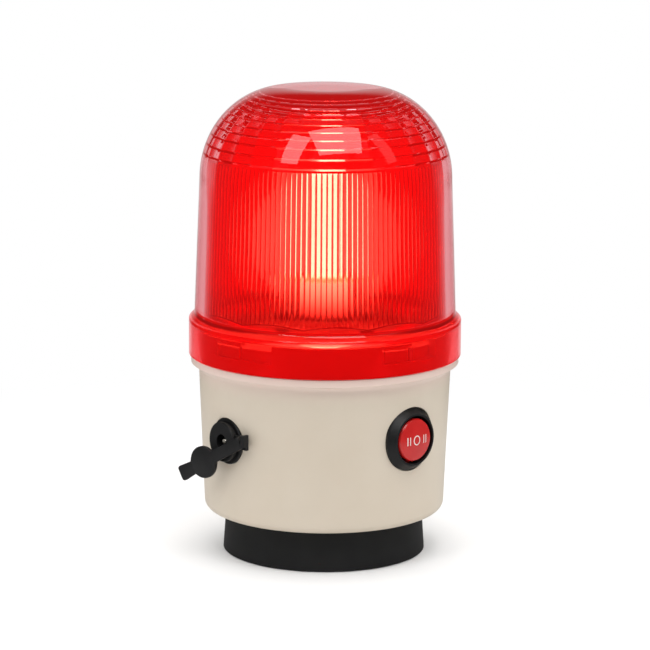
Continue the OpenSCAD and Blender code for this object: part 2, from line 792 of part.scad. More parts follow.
// Washer under the reflector gear
module thrust_washer() {
    color("#e6e3da") translate([0, 0, deck_top + post_flange_t])
        tube(bush_r + slip, post_flange_r - 0.3, washer_t);
}

// Ring that keeps the gear on its bush
module retaining_ring() {
    color("#4a4d52") translate([0, 0, ring_z]) difference() {
        tube(post_r - ring_groove + 0.05, bush_r + 1.2, ring_t);
        translate([-1.5, -bush_r - 3, -1]) cube([3, bush_r, ring_t + 2]);
    }
}

// White gear that turns the reflector
module reflector_gear() {
    color("#efece2") translate([0, 0, gear_z]) difference() {
        union() {
            linear_extrude(gear_t) polygon(gear_points(gear_teeth));
            cylinder(r = hub_r, h = gear_t + hub_h);
        }
        translate([0, 0, -1]) cylinder(r = gear_bore_r, h = gear_t + hub_h + 2);
        for (p = foot_screws) translate([p.x, p.y, 1]) cylinder(r = foot_screw_r + thread_gap, h = gear_t);
    }
}

// Profile of the dish from its middle to a radius, moved back by a depth
function dish_line(r1, d, n) = [for (i = [0:n]) let (r = r1 * i / n) [r, r * r / 4 / focus - d]];

// Turns a profile around the dish's axis, which points to the front
module on_dish() {
    translate([0, vertex_y, lamp_z]) rotate([90, 0, 0]) rotate_extrude() children();
}

// Chromed reflector with its foot and two braces
module reflector() {
    n = 14;
    inside = dish_line(dish_r, 0, n);
    outside = dish_line(dish_r, dish_wall, n);
    color("#dfe3e6") {
        difference() {
            on_dish() polygon(concat(inside, [for (i = [n:-1:0]) outside[i]]));
            translate([-skirt_r, -skirt_r, 0]) cube([2 * skirt_r, 2 * skirt_r, dish_from]);
            cylinder(r = foot_in_r - 0.1, h = post_top + 1);
        }
        difference() {
            translate([0, 0, foot_z]) sector(foot_in_r, foot_out_r, foot_t, 180, 150);
            for (p = foot_screws) translate([p.x, p.y, foot_z - 1]) cylinder(r = foot_screw_r + 0.15, h = 4);
        }
        difference() {
            for (s = [-1, 1]) translate([s * brace_x - brace_w / 2, 0, 0]) {
                translate([0, brace_in_y, foot_z + 0.2])
                    cube([brace_w, brace_back_y - brace_in_y, brace_h]);
                translate([0, brace_front_y, dish_from])
                    cube([brace_w, brace_back_y - brace_front_y, foot_z + 0.2 + brace_h - dish_from]);
            }
            on_dish() polygon(concat(dish_line(dish_r + 8, dish_wall / 2, n),
                [[0, (dish_r + 8) ^ 2 / 4 / focus]]));
        }
    }
}

// Screws that hold the reflector on its gear
module reflector_screws() {
    color("#c4c6c8") for (p = foot_screws) translate([p.x, p.y, foot_z + foot_t])
        screw(foot_screw_r, foot_t + 2.6, 1.8, 1.2);
}

// Steel can of the motor
module motor_can() {
    color("#b8bbbf") translate([0, motor_y, motor_z]) difference() {
        union() {
            cylinder(r = motor_r, h = motor_h);
            cylinder(r = 3, h = motor_h + 1.6);
        }
        translate([0, 0, -1]) cylinder(r = motor_inner_r, h = motor_h);
        cylinder(r = 2.5, h = motor_h + 3);
        for (x = motor_screw_places) translate([x, 0, motor_h - 2])
            cylinder(r = motor_screw_r + thread_gap, h = 4);
    }
}

// Sintered bearing of the motor's shaft
module motor_bearing() {
    color("#b98b4a") translate([0, motor_y, motor_z + motor_h - 1])
        tube(motor_shaft_r + 0.04, 2.45, 2.6);
}

// Ring magnet inside the can
module motor_magnet() {
    color("#45474b") translate([0, motor_y, motor_z + end_cap_t + 0.4])
        tube(motor_inner_r - slip - magnet_t, motor_inner_r - slip, motor_h - end_cap_t - 2);
}

// Plastic end of the motor
module motor_end_cap() {
    color("#e9e6da") translate([0, motor_y, motor_z]) difference() {
        cylinder(r = motor_inner_r - slip, h = end_cap_t);
        translate([0, 0, -1]) cylinder(r = motor_shaft_r + 0.06, h = end_cap_t + 2);
    }
}

// Two solder tags under the motor
module motor_terminals() {
    color("#c9a24a") for (s = [-1, 1])
        translate([s * terminal_x - 1, motor_y - 6.3, motor_z - 2.6]) cube([2, 0.6, 2.6]);
}

// Motor shaft
module motor_shaft() {
    color("#c9ccd0") translate([0, motor_y, motor_z + 0.2])
        cylinder(r = motor_shaft_r, h = gear_z + gear_t + 1 - motor_z - 0.2);
}

// Three-pole rotor on the shaft
module motor_rotor() {
    color("#a65a32") translate([0, motor_y, motor_z + end_cap_t + 1.2]) difference() {
        cylinder(r = rotor_r, h = motor_h - end_cap_t - 3.6);
        translate([0, 0, -1]) cylinder(r = motor_shaft_r + 0.01, h = motor_h);
        for (a = [0:120:240]) rotate([0, 0, a]) translate([3, -0.8, -1]) cube([rotor_r, 1.6, motor_h]);
    }
}

// Pinion on the motor's shaft
module drive_pinion() {
    color("#efece2") translate([0, motor_y, gear_z]) difference() {
        rotate([0, 0, -90 + 180 / pinion_teeth]) linear_extrude(gear_t) polygon(gear_points(pinion_teeth));
        translate([0, 0, -1]) cylinder(r = motor_shaft_r + 0.01, h = gear_t + 2);
    }
}

// Flat screws that hold the motor under the deck
module motor_screws() {
    color("#c4c6c8") for (x = motor_screw_places) translate([x, motor_y, deck_top - 0.2])
        screw(motor_screw_r, deck_t + 0.7, 1.9, 1);
}

// Black tray of the battery
module battery_tray() {
    color("#2a2b2d") translate([0, 0, floor_z]) difference() {
        translate([-tray_x - tray_wall, -tray_y - tray_wall, 0])
            cube([2 * (tray_x + tray_wall), 2 * (tray_y + tray_wall), tray_h]);
        translate([-tray_x, -tray_y, tray_t]) cube([2 * tray_x, 2 * tray_y, tray_h]);
        for (s = [-1, 1]) translate([s * tray_screw_x, 0, -1]) cylinder(r = tray_screw_r + 0.2, h = 4);
    }
}

// Screws that hold the tray on the housing's floor
module tray_screws() {
    color("#c4c6c8") for (s = [-1, 1]) translate([s * tray_screw_x, 0, floor_z + tray_t])
        screw(tray_screw_r, tray_t + 2, 2.4, 1.6);
}

// Two cells that lie side by side
module battery_cells() {
    color("#2f6db5") for (s = [-1, 1]) translate([-cell_l / 2, s * cell_y, cell_z]) rotate([0, 90, 0])
        rotate_extrude() polygon([[0, 0], [cell_r - 1, 0], [cell_r, 1], [cell_r, cell_l - 1.5],
            [cell_r - 1.5, cell_l], [0, cell_l]]);
}

// Nickel strips at the cells' ends: a link at the right and two tags at the left
module cell_contacts() {
    x = cell_l / 2 + slip / 2;
    color("#cfd1d3") {
        translate([x, -cell_y - 4, cell_z - 4]) cube([contact_t, 2 * cell_y + 8, 8]);
        for (s = [-1, 1]) translate([-x - contact_t, s * cell_y - 3, cell_z - 4])
            cube([contact_t, 6, 10]);
    }
}

// Green circuit board that stands behind the battery
module circuit_board() {
    color("#2f6b3c") difference() {
        translate([-board_w / 2, board_y, board_z]) cube([board_w, board_t, board_h]);
        for (s = [-1, 1], z = board_screw_z) translate([s * pillar_x, board_y - 1, z])
            rotate([-90, 0, 0]) cylinder(r = board_screw_r + 0.2, h = board_t + 2);
    }
}

// Screws of the circuit board
module board_screws() {
    color("#c4c6c8") for (s = [-1, 1], z = board_screw_z) translate([s * pillar_x, board_y, z])
        rotate([90, 0, 0]) screw(board_screw_r, board_t + 3.4, 2.3, 1.6);
}

// White header that the leads end in
module board_connector() {
    w = ways * way_pitch + 2;
    color("#f0eee6") translate([-w / 2, board_y - connector_d, connector_z])
        cube([w, connector_d, connector_h]);
}

// Chip of the charging circuit
module board_chip() {
    color("#1b1b1c") translate([-13, board_y - 1.8, board_z + 16]) cube([9, 1.8, 7]);
}

// Capacitor on the board
module board_capacitor() {
    color("#27334d") translate([9, board_y, board_z + 20]) rotate([90, 0, 0]) cylinder(r = 3.2, h = 6.2);
}

// Choke on the board
module board_coil() {
    color("#3b3c3e") translate([0.5, board_y, board_z + 20]) rotate([90, 0, 0]) cylinder(r = 3.8, h = 4.6);
}

// Power transistor on the board
module board_transistor() {
    color("#222324") translate([-5, board_y - 2.4, board_z + 2]) cube([10, 2.4, 10]);
}

// Black body of the switch, with its conical bezel
module switch_body() {
    color("#1d1e1f") on_wall(switch_az, switch_z, switch_seat_r) difference() {
        union() {
            rotate_extrude() polygon([[0, 0], [bezel_r, 0], [bezel_r, 0.9], [bezel_r - 0.4, 1.3],
                [rocker_hole_r + 0.7, bezel_h], [rocker_hole_r, bezel_h], [0, bezel_h]]);
            translate([0, 0, -barrel_l]) cylinder(r = barrel_r, h = barrel_l + eps);
        }
        translate([0, 0, -barrel_l + barrel_floor]) cylinder(r = rocker_hole_r, h = barrel_l + bezel_h);
        translate([0, 0, pivot_w]) rotate([90, 0, 0])
            cylinder(r = trunnion_r + trunnion_gap, h = 2 * barrel_r + 2, center = true);
        for (x = blade_x) translate([x - blade_w / 2, -blade_t / 2, -barrel_l - 1])
            rotate([0, 0, 0]) cube([blade_w, blade_t, barrel_floor + 2]);
    }
}

// Red rocker with its trunnions and plunger
module switch_rocker() {
    top = bezel_h;
    color("#d22420") on_wall(switch_az, switch_z, switch_seat_r) union() {
        translate([0, 0, -rocker_skirt]) rotate_extrude() polygon(concat(
            [[0, 0], [rocker_r, 0], [rocker_r, rocker_skirt + top - 0.5]],
            [for (i = [1:8]) let (r = rocker_r - 0.35 - (rocker_r - 0.35) * (i - 1) / 7)
                [r, rocker_skirt + top + rocker_crown * (1 - (r / rocker_r) ^ 2)]]));
        translate([0, 0, pivot_w]) rotate([90, 0, 0])
            cylinder(r = trunnion_r, h = 2 * barrel_r - 0.6, center = true);
        translate([0, 0, -rocker_skirt - 6]) cylinder(r = 1.6, h = 6 + eps);
    }
}

// Three blades of the switch, with their inner contacts
module switch_terminals() {
    color("#cfc7b0") on_wall(switch_az, switch_z, switch_seat_r) for (x = blade_x)
        translate([x - blade_w / 2 + 0.02, -blade_t / 2 + 0.02, -barrel_l - blade_l])
            cube([blade_w - 0.04, blade_t - 0.04, blade_l + barrel_floor + 2]);
}

// Socket body with two flanges, a groove and a threaded barrel
module jack_body() {
    color("#17181a") on_wall(jack_az, jack_z, jack_seat_r) difference() {
        rotate_extrude() polygon([[0, -thread_l], [thread_r, -thread_l], [thread_r, 0], [flange_r, 0],
            [flange_r, flange_t - 0.3], [flange_r - 0.3, flange_t], [groove_r, flange_t],
            [groove_r, jack_h - front_flange_t], [front_flange_r, jack_h - front_flange_t],
            [front_flange_r, jack_h - 0.3], [front_flange_r - 0.3, jack_h], [0, jack_h]]);
        translate([0, 0, jack_floor_z]) cylinder(r = jack_bore_r, h = jack_bore_d + 1);
        translate([0, 0, -thread_l - 1]) cylinder(r = pin_shank_r + 0.02, h = thread_l + 2);
    }
}

// Centre pin of the socket
module jack_pin() {
    color("#d9d2b8") on_wall(jack_az, jack_z, jack_seat_r) rotate_extrude()
        polygon([[0, -thread_l], [pin_shank_r, -thread_l], [pin_shank_r, jack_floor_z], [pin_r, jack_floor_z],
            [pin_r, jack_h - pin_back - pin_tip], [pin_r - pin_tip, jack_h - pin_back],
            [0, jack_h - pin_back]]);
}

// Hexagonal nut behind the housing's wall
module jack_nut() {
    color("#b4b7ba") on_wall(jack_az, jack_z, jack_seat_r)
        translate([0, 0, -jack_pad_in - nut_t]) difference() {
            cylinder(r = nut_r, h = nut_t, $fn = 6);
            translate([0, 0, -1]) cylinder(r = thread_r + thread_gap, h = nut_t + 2);
        }
}

// Two solder tags behind the socket
module jack_terminals() {
    color("#cfc7b0") on_wall(jack_az, jack_z, jack_seat_r) for (x = [-jack_tag_x, jack_tag_x])
        translate([x - 1.2, -0.3, -thread_l - jack_tag_l]) cube([2.4, 0.6, jack_tag_l]);
}

// Rubber ring in the socket's groove, with the tab that the strap folds from
module cap_ring() {
    w0 = flange_t + slip;
    t = jack_h - front_flange_t - slip - w0;
    color("#1f2021") on_wall(jack_az, jack_z, jack_seat_r) {
        translate([0, 0, w0]) tube(groove_r + slip, ring_out_r, t);
        translate([ring_out_r - 0.6, -strap_w / 2 + fold_y / 2, w0])
            cube([fold_x + knuckle_r - ring_out_r + 0.6, strap_w, t]);
        translate([fold_x - knuckle_r / 4, fold_y - strap_w / 2, w0])
            cube([knuckle_r * 1.25, strap_w, fold_w - w0]);
        translate([fold_x, fold_y, fold_w]) rotate([90, 0, 0])
            cylinder(r = knuckle_r, h = strap_w, center = true);
    }
}

// Rubber strap, cap disc, plug nub and pull tab, folded over the socket
module jack_cap() {
    color("#242526") on_wall(jack_az, jack_z, jack_seat_r) translate([fold_x, fold_y, fold_w])
        difference() {
            rotate([0, strap_lean, 0]) rotate([0, 0, strap_slope]) union() {
                translate([-strap_l, -strap_w / 2, -rubber_t / 2]) cube([strap_l, strap_w, rubber_t]);
                translate([-strap_l, 0, -rubber_t / 2]) cylinder(r = cap_disc_r, h = rubber_t);
                translate([-strap_l, 0, -rubber_t / 2 - nub_l]) cylinder(r = nub_r, h = nub_l + eps);
                translate([-strap_l - tab_l, -tab_w / 2, -rubber_t / 2]) cube([tab_l, tab_w, rubber_t]);
            }
            rotate([90, 0, 0]) cylinder(r = knuckle_r + fold_gap, h = 3 * strap_w, center = true);
            translate([0, -10, -10]) cube([20, 20, 20]);
        }
}

// Leads of the battery, from its two tags to the board
module battery_leads() {
    x = -cell_l / 2 - slip / 2 - contact_t;
    z = cell_z + 4.5;
    color("#b02020") {
        lead([[x, cell_y, z], [x - 1.5, cell_y, z], [x - 1.5, cell_y + 2, z + 4], [-28, 14, 44],
            [-16, 16, 52], way(0) + [0, -3, 0], way(0)]);
        lead([[x, -cell_y, z], [x - 1.5, -cell_y, z], [x - 1, -cell_y + 2, z + 4], [-30, 0, 43],
            [-22, 8, 49], way(1) + [0, -3, 0], way(1)]);
    }
}

// Leads of the charging socket
module jack_leads() {
    a = wall_point(jack_az, jack_z, jack_seat_r, [-jack_tag_x, 0, -thread_l - jack_tag_l]);
    b = wall_point(jack_az, jack_z, jack_seat_r, [jack_tag_x, 0, -thread_l - jack_tag_l]);
    c = around(-3, jack_az);
    color("#232324") {
        lead([a, a + [c.x, c.y, 0], [-16, -4, 51], [-9, 10, 54], way(2) + [0, -3, 0], way(2)]);
        lead([b, b + [c.x, c.y, 0], [-9, -6, 50], [-5, 8, 53], way(3) + [0, -3, 0], way(3)]);
    }
}

// Leads of the switch
module switch_leads() {
    c = around(-3, switch_az);
    color("#b02020") for (i = [0:2]) {
        a = wall_point(switch_az, switch_z, switch_seat_r, [blade_x[i], 0, -barrel_l - blade_l]);
        lead([a, a + [c.x, c.y, 0], [a.x, a.y + 12, 52], [way_x(7 + i), 12, 54], way(7 + i) + [0, -3, 0],
            way(7 + i)]);
    }
}

// Leads of the motor
module motor_leads() {
    color("#232324") for (s = [-1, 1]) {
        a = [s * terminal_x, motor_y - 6, motor_z - 2.6];
        i = s < 0 ? 4 : 6;
        lead([a, a + [0, 0, -1], [a.x, a.y - 2.5, 58], [way_x(i), a.y - 4.2, 56], way(i) + [0, -2.4, 0],
            way(i)]);
    }
}

// Lead of the lamp's bottom contact
module lamp_leads() {
    color("#b02020") lead([[0, 0, deck_z - spigot_l + 1], [0, 0, deck_z - spigot_l - 3], [0.2, 5, 62],
        [0, 13, 55], way(5) + [0, -3, 0], way(5)]);
}

magnet_boot();
magnet_ring();
magnet_pot();
magnet_screws();
base_housing();
lens();
red_filter();
lens_gasket();
chassis_deck();
deck_screws();
lamp_post();
post_screws();
lamp_contact();
contact_carrier();
bulb_cap();
bulb_glass();
bulb_stem();
bulb_filament();
bearing_bush();
thrust_washer();
retaining_ring();
reflector_gear();
reflector();
reflector_screws();
motor_can();
motor_magnet();
motor_end_cap();
motor_terminals();
motor_bearing();
motor_shaft();
motor_rotor();
drive_pinion();
motor_screws();
battery_tray();
tray_screws();
battery_cells();
cell_contacts();
circuit_board();
board_screws();
board_connector();
board_chip();
board_capacitor();
board_coil();
board_transistor();
switch_body();
switch_rocker();
switch_terminals();
jack_body();
jack_pin();
jack_nut();
jack_terminals();
cap_ring();
jack_cap();
battery_leads();
jack_leads();
switch_leads();
motor_leads();
lamp_leads();
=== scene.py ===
import math

import bpy
import bmesh
import numpy as np
from mathutils import Matrix, Vector


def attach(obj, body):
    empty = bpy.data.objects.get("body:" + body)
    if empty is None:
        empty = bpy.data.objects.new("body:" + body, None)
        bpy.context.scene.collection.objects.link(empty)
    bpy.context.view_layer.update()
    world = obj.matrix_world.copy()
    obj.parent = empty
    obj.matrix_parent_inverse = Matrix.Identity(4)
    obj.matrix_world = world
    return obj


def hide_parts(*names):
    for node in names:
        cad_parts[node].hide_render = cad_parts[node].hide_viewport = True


# A red warning beacon on a magnet foot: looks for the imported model.
# Sizes below are in millimetres and become metres where a mesh is made.

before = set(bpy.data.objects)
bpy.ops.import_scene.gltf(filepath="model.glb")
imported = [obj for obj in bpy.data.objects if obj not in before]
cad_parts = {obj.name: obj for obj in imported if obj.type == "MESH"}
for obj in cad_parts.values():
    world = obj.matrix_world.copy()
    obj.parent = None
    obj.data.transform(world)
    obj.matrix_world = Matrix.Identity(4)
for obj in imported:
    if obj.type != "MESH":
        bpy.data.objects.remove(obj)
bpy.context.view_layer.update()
MM = 0.001

# Camera fitted to the photograph's outlines: its picture in pixels, its place in metres, its turn in degrees
IMAGE = 650
FOCAL_PX = 2871
SENSOR = 36
CAMERA_PLACE = (0, -1.036, 0.287)
CAMERA_DOWN, CAMERA_ROLL = 11.12, 0.35

camera_data = bpy.data.cameras.new("beacon_camera")
camera_data.sensor_width = SENSOR
camera_data.lens = FOCAL_PX / IMAGE * SENSOR
camera_data.clip_start = 0.05
camera = bpy.data.objects.new("beacon_camera", camera_data)
bpy.context.scene.collection.objects.link(camera)
camera.matrix_world = (
    Matrix.Translation(CAMERA_PLACE)
    @ Matrix.Rotation(math.radians(90 - CAMERA_DOWN), 4, "X")
    @ Matrix.Rotation(math.radians(CAMERA_ROLL), 4, "Z")
)
bpy.context.scene.camera = camera


def linear(hex_colour):
    """A colour written as an sRGB hex value, as linear numbers."""
    values = [int(hex_colour[i : i + 2], 16) / 255 for i in (1, 3, 5)]
    return [v / 12.92 if v <= 0.04045 else ((v + 0.055) / 1.055) ** 2.4 for v in values] + [1.0]


def add(tree, kind, settings=None, links=None):
    """Adds a node to a tree. Settings name a property of the node or an input, and links name an input."""
    made = tree.nodes.new(kind)
    for key, value in (settings or {}).items():
        if isinstance(key, str) and hasattr(made, key):
            setattr(made, key, value)
        else:
            made.inputs[key].default_value = value
    for key, value in (links or {}).items():
        tree.links.new(value, made.inputs[key])
    return made


def finish_of(name, colour, second, patch_mm, grain_mm, depth_mm, **surface):
    """A surface whose colour drifts between two close tones over patches, with a fine grain in relief."""
    material = bpy.data.materials.new(name)
    material.use_nodes = True
    tree = material.node_tree
    tree.nodes.clear()
    place = add(tree, "ShaderNodeTexCoord")
    patches = add(tree, "ShaderNodeTexNoise", {"Scale": 1000 / patch_mm, "Detail": 3.0, "Roughness": 0.55},
                  {"Vector": place.outputs["Object"]})
    tones = add(tree, "ShaderNodeValToRGB", links={"Fac": patches.outputs["Fac"]})
    tones.color_ramp.elements[0].position = 0.3
    tones.color_ramp.elements[0].color = linear(colour)
    tones.color_ramp.elements[1].position = 0.7
    tones.color_ramp.elements[1].color = linear(second)
    grain = add(tree, "ShaderNodeTexNoise", {"Scale": 1000 / grain_mm, "Detail": 4.0, "Roughness": 0.6},
                {"Vector": place.outputs["Object"]})
    relief = add(tree, "ShaderNodeBump", {"Strength": 1.0, "Distance": depth_mm * MM},
                 {"Height": grain.outputs["Fac"]})
    shader = add(tree, "ShaderNodeBsdfPrincipled", surface,
                 {"Base Color": tones.outputs["Color"], "Normal": relief.outputs["Normal"]})
    add(tree, "ShaderNodeOutputMaterial", links={"Surface": shader.outputs["BSDF"]})
    return material


# Injection moulded ABS, cream: a satin skin that mirrors the softboxes softly, with a faint flow of tone
cream_abs = finish_of("cream_abs_moulding_with_painted_pink_rim", "#DBCFBD", "#D7CAB7", 28, 0.9, 0.006,
                      **{"Roughness": 0.34, "IOR": 1.53})
# Painted light: the rim below the lit lens is mixed towards a lighter pink, a painted glow of the lens's red
# light on it
LENS_LIGHT_FROM, LENS_LIGHT_TO, LENS_LIGHT_MOST = 62, 73, 0.8
cream_tree = cream_abs.node_tree
cream_shader = next(n for n in cream_tree.nodes if n.type == "BSDF_PRINCIPLED")
cream_tones = cream_shader.inputs["Base Color"].links[0].from_socket
cream_place = add(cream_tree, "ShaderNodeTexCoord")
cream_parts = add(cream_tree, "ShaderNodeSeparateXYZ", links={"Vector": cream_place.outputs["Object"]})
painted_lens_light_share = add(cream_tree, "ShaderNodeMapRange",
                {"interpolation_type": "SMOOTHSTEP", "From Min": LENS_LIGHT_FROM * MM, "From Max": LENS_LIGHT_TO * MM,
                 "To Max": LENS_LIGHT_MOST}, {"Value": cream_parts.outputs["Z"]})
painted_pink_rim_mix = add(cream_tree, "ShaderNodeMix", {"data_type": "RGBA", 7: linear("#EFD5CB")},
             {"Factor": painted_lens_light_share.outputs["Result"], 6: cream_tones})
cream_tree.links.new(painted_pink_rim_mix.outputs[2], cream_shader.inputs["Base Color"])
# Compression moulded black rubber: matt, with a dusty grey bloom in patches
black_rubber = finish_of("moulded_black_rubber", "#0F0F10", "#171718", 9, 0.5, 0.02,
                         **{"Roughness": 0.62, "IOR": 1.52})
# Softer moulded rubber of the socket's cap, a touch lighter and drier
cap_rubber = finish_of("moulded_cap_rubber", "#151516", "#1D1D1E", 5, 0.4, 0.02,
                       **{"Roughness": 0.58, "IOR": 1.52})
# Injection moulded black nylon: a fine spark-eroded texture with a soft sheen
black_nylon = finish_of("moulded_black_nylon", "#0D0D0E", "#121213", 6, 0.35, 0.012,
                        **{"Roughness": 0.5, "IOR": 1.53})
# Injection moulded white polystyrene of the deck
white_styrene = finish_of("moulded_white_polystyrene", "#ECEAE4", "#E4E1DA", 18, 0.8, 0.006,
                          **{"Roughness": 0.38, "IOR": 1.59})
# Acetal gears: milky white, slippery and slightly waxy
white_acetal = finish_of("moulded_white_acetal", "#F0EDE4", "#E6E2D6", 10, 0.6, 0.004,
                         **{"Roughness": 0.3, "IOR": 1.48})
# Zinc plated steel of screws and nuts: bright, with a slight haze
zinc_steel = finish_of("zinc_plated_steel", "#C9CBCD", "#B4B7BA", 4, 0.3, 0.006,
                       **{"Roughness": 0.28, "Metallic": 1.0})
# Drawn steel of the motor's can and the magnet's pot, nickel plated
drawn_steel = finish_of("drawn_nickel_plated_steel", "#B9BBBE", "#A7AAAD", 8, 0.4, 0.008,
                        **{"Roughness": 0.33, "Metallic": 1.0})
# Blued spring steel of the retaining ring
spring_steel = finish_of("blued_spring_steel", "#4C5057", "#3D4046", 3, 0.3, 0.006,
                         **{"Roughness": 0.36, "Metallic": 1.0})
# Turned aluminium of the lamp post: fine lathe haze, and a painted warm glow of the lamp's light
post_aluminium_with_painted_light = finish_of("post_aluminium_with_painted_light", "#D2D4D7", "#C2C5C9", 6, 0.3, 0.008,
                             **{"Roughness": 0.27, "Metallic": 1.0, "Emission Color": linear("#FFDC9C")})
# Sintered ferrite: charcoal grey, dull and granular
sintered_ferrite = finish_of("sintered_ferrite", "#37383A", "#2C2D2F", 3, 0.3, 0.03,
                             **{"Roughness": 0.7, "IOR": 2.0})
# Drawn brass of contacts and the lamp's cap
drawn_brass = finish_of("drawn_brass", "#C4A35A", "#B08E48", 4, 0.3, 0.006,
                        **{"Roughness": 0.3, "Metallic": 1.0})
# The same brass on the lamp's cap, a copy with a painted glow of the lamp just above it
cap_brass_with_painted_light = finish_of("drawn_brass_with_painted_lamp_light", "#C4A35A", "#B08E48", 4, 0.3, 0.006,
                       **{"Roughness": 0.3, "Metallic": 1.0, "Emission Color": linear("#FFC870")})
# Nickel plated brass of the socket's pin: nearly mirror bright
bright_nickel = finish_of("nickel_plated_brass", "#E6E1D4", "#D8D2C4", 3, 0.3, 0.003,
                          **{"Roughness": 0.16, "Metallic": 1.0})
# Sintered bronze of the bearings: porous and oily
sintered_bronze = finish_of("sintered_bronze", "#A87942", "#8F6435", 2, 0.25, 0.02,
                            **{"Roughness": 0.45, "Metallic": 1.0})
# Rotor: enamelled copper winding on steel laminations
enamelled_copper = finish_of("enamelled_copper", "#B0623A", "#8E4A2A", 2, 0.3, 0.02,
                             **{"Roughness": 0.35, "Metallic": 0.8})
# Tinned brass of the solder tags
tinned_brass = finish_of("tinned_brass", "#CFC9B8", "#BDB6A2", 3, 0.3, 0.006,
                         **{"Roughness": 0.35, "Metallic": 1.0})
# Heat-shrunk sleeve of the cells, glossy blue PVC
cell_sleeve = finish_of("shrunk_blue_sleeve", "#2765B0", "#1F58A0", 12, 0.8, 0.004,
                        **{"Roughness": 0.25, "IOR": 1.54})
# Glass fibre board under green solder mask: glossy, with a fine weave
green_board = finish_of("glass_fibre_board", "#1E6A3A", "#17572F", 2.5, 0.7, 0.01,
                        **{"Roughness": 0.3, "IOR": 1.55})
# Epoxy of chips and power transistors: matt black
black_epoxy = finish_of("moulded_black_epoxy", "#17181A", "#1F2022", 3, 0.2, 0.01,
                        **{"Roughness": 0.5, "IOR": 1.55})
# Sleeve of the capacitor, dark blue
capacitor_sleeve = finish_of("shrunk_dark_blue_sleeve", "#26345A", "#1E2A4A", 5, 0.5, 0.004,
                             **{"Roughness": 0.28, "IOR": 1.54})
# Paper phenolic of the contact carrier: tan with fibres
paper_phenolic = finish_of("pressed_paper_phenolic", "#B48A54", "#9C7443", 3, 0.3, 0.01,
                           **{"Roughness": 0.45, "IOR": 1.6})
# PVC of the leads
red_pvc = finish_of("extruded_red_pvc", "#B3201E", "#9E1B1A", 6, 0.5, 0.004,
                    **{"Roughness": 0.35, "IOR": 1.53})
black_pvc = finish_of("extruded_black_pvc", "#1C1C1D", "#252526", 6, 0.5, 0.004,
                      **{"Roughness": 0.38, "IOR": 1.53})
# Polycarbonate of the rocker, dyed red through: glossy, a little see-through at its rim
rocker_red = finish_of("moulded_red_rocker", "#D0201E", "#C21A19", 7, 0.8, 0.003,
                       **{"Roughness": 0.2, "IOR": 1.58, "Coat Weight": 0.4, "Coat Roughness": 0.08})
# Pad-printed white ink of the rocker's marks
white_ink = finish_of("printed_white_ink", "#F2EEEA", "#E6E1DC", 2, 0.2, 0.004,
                      **{"Roughness": 0.5, "IOR": 1.5})
# Aluminium vapour under lacquer on the reflector: grey and hazy, so the lens stays deep red beside the lamp
mirror_lacquer = finish_of("vacuum_metallised_mirror", "#6C6F73", "#66696D", 14, 0.8, 0.001,
                           **{"Roughness": 0.55, "Metallic": 1.0})


def paint_light_by_height(material, low, high, at_low, at_high):
    """Paints a glow on a material: its own light changes smoothly between two heights in millimetres."""
    tree = material.node_tree
    shader = next(n for n in tree.nodes if n.type == "BSDF_PRINCIPLED")
    place = add(tree, "ShaderNodeTexCoord")
    parts = add(tree, "ShaderNodeSeparateXYZ", links={"Vector": place.outputs["Object"]})
    strength = add(tree, "ShaderNodeMapRange", {"interpolation_type": "SMOOTHSTEP", "From Min": low * MM,
                                                "From Max": high * MM, "To Min": at_low, "To Max": at_high},
                   {"Value": parts.outputs["Z"]})
    tree.links.new(strength.outputs["Result"], shader.inputs["Emission Strength"])


def clear_plastic(name, tint, second, roughness, ior, gleam="#FFFFFF", painted_dye_glow=0.0):
    """A see-through moulding, tinted where light goes through it, with a faint drift of tone. Its gleam tints
    what it mirrors with a painted reflection colour, and its painted glow stands in for the lamp's light that
    its dye scatters."""
    material = bpy.data.materials.new(name)
    material.use_nodes = True
    tree = material.node_tree
    tree.nodes.clear()
    place = add(tree, "ShaderNodeTexCoord")
    flow = add(tree, "ShaderNodeTexNoise", {"Scale": 1000 / 30, "Detail": 2.0},
               {"Vector": place.outputs["Object"]})
    tones = add(tree, "ShaderNodeValToRGB", links={"Fac": flow.outputs["Fac"]})
    tones.color_ramp.elements[0].position = 0.3
    tones.color_ramp.elements[0].color = linear(tint)
    tones.color_ramp.elements[1].position = 0.7
    tones.color_ramp.elements[1].color = linear(second)
    shader = add(tree, "ShaderNodeBsdfPrincipled",
                 {"Roughness": roughness, "IOR": ior, "Transmission Weight": 1.0,
                  "Specular Tint": linear(gleam), "Emission Color": linear("#FF0C0A"),
                  "Emission Strength": painted_dye_glow},
                 {"Base Color": tones.outputs["Color"]})
    add(tree, "ShaderNodeOutputMaterial", links={"Surface": shader.outputs["BSDF"]})
    return material


# Painted glow: the brass below the lamp gets light of its own, brighter towards the lamp
paint_light_by_height(cap_brass_with_painted_light, 92, 102, 0.0, 9.0)
# Painted glow: the post gets light of its own, brightest just below the lamp
paint_light_by_height(post_aluminium_with_painted_light, 86, 104, 0.0, 16.0)

# The lens is polished polycarbonate. Seen along its thickness it is a pale pink at the outline.
lens_skin = clear_plastic("polished_pink_skin_with_painted_foot_light", "#F3B4BA", "#F1ADB3", 0.02, 1.58)
# Painted glow: its thick foot gets a faint red light of its own, fading out above it, in place of the lamp's
# light scattered there
paint_light_by_height(lens_skin, 89, 91, 0.15, 0.0)
# The skin's own inside lies on the red lining; it gets a painted red tint on its reflections and a painted red
# glow
lens_skin_back = clear_plastic("pink_skin_back_with_painted_red_light", "#F3B4BA", "#F1ADB3", 0.02, 1.58,
                               gleam="#FF3038", painted_dye_glow=0.2)
# The ribbed lining holds the red dye, and its reflections get a painted red tint. Its mould is duller, so the
# lamp shows through it softly.
lens_inside = clear_plastic("ribbed_red_lining_with_painted_light", "#FF5A5E", "#FF5458", 0.12, 1.58,
                            gleam="#FF3038")
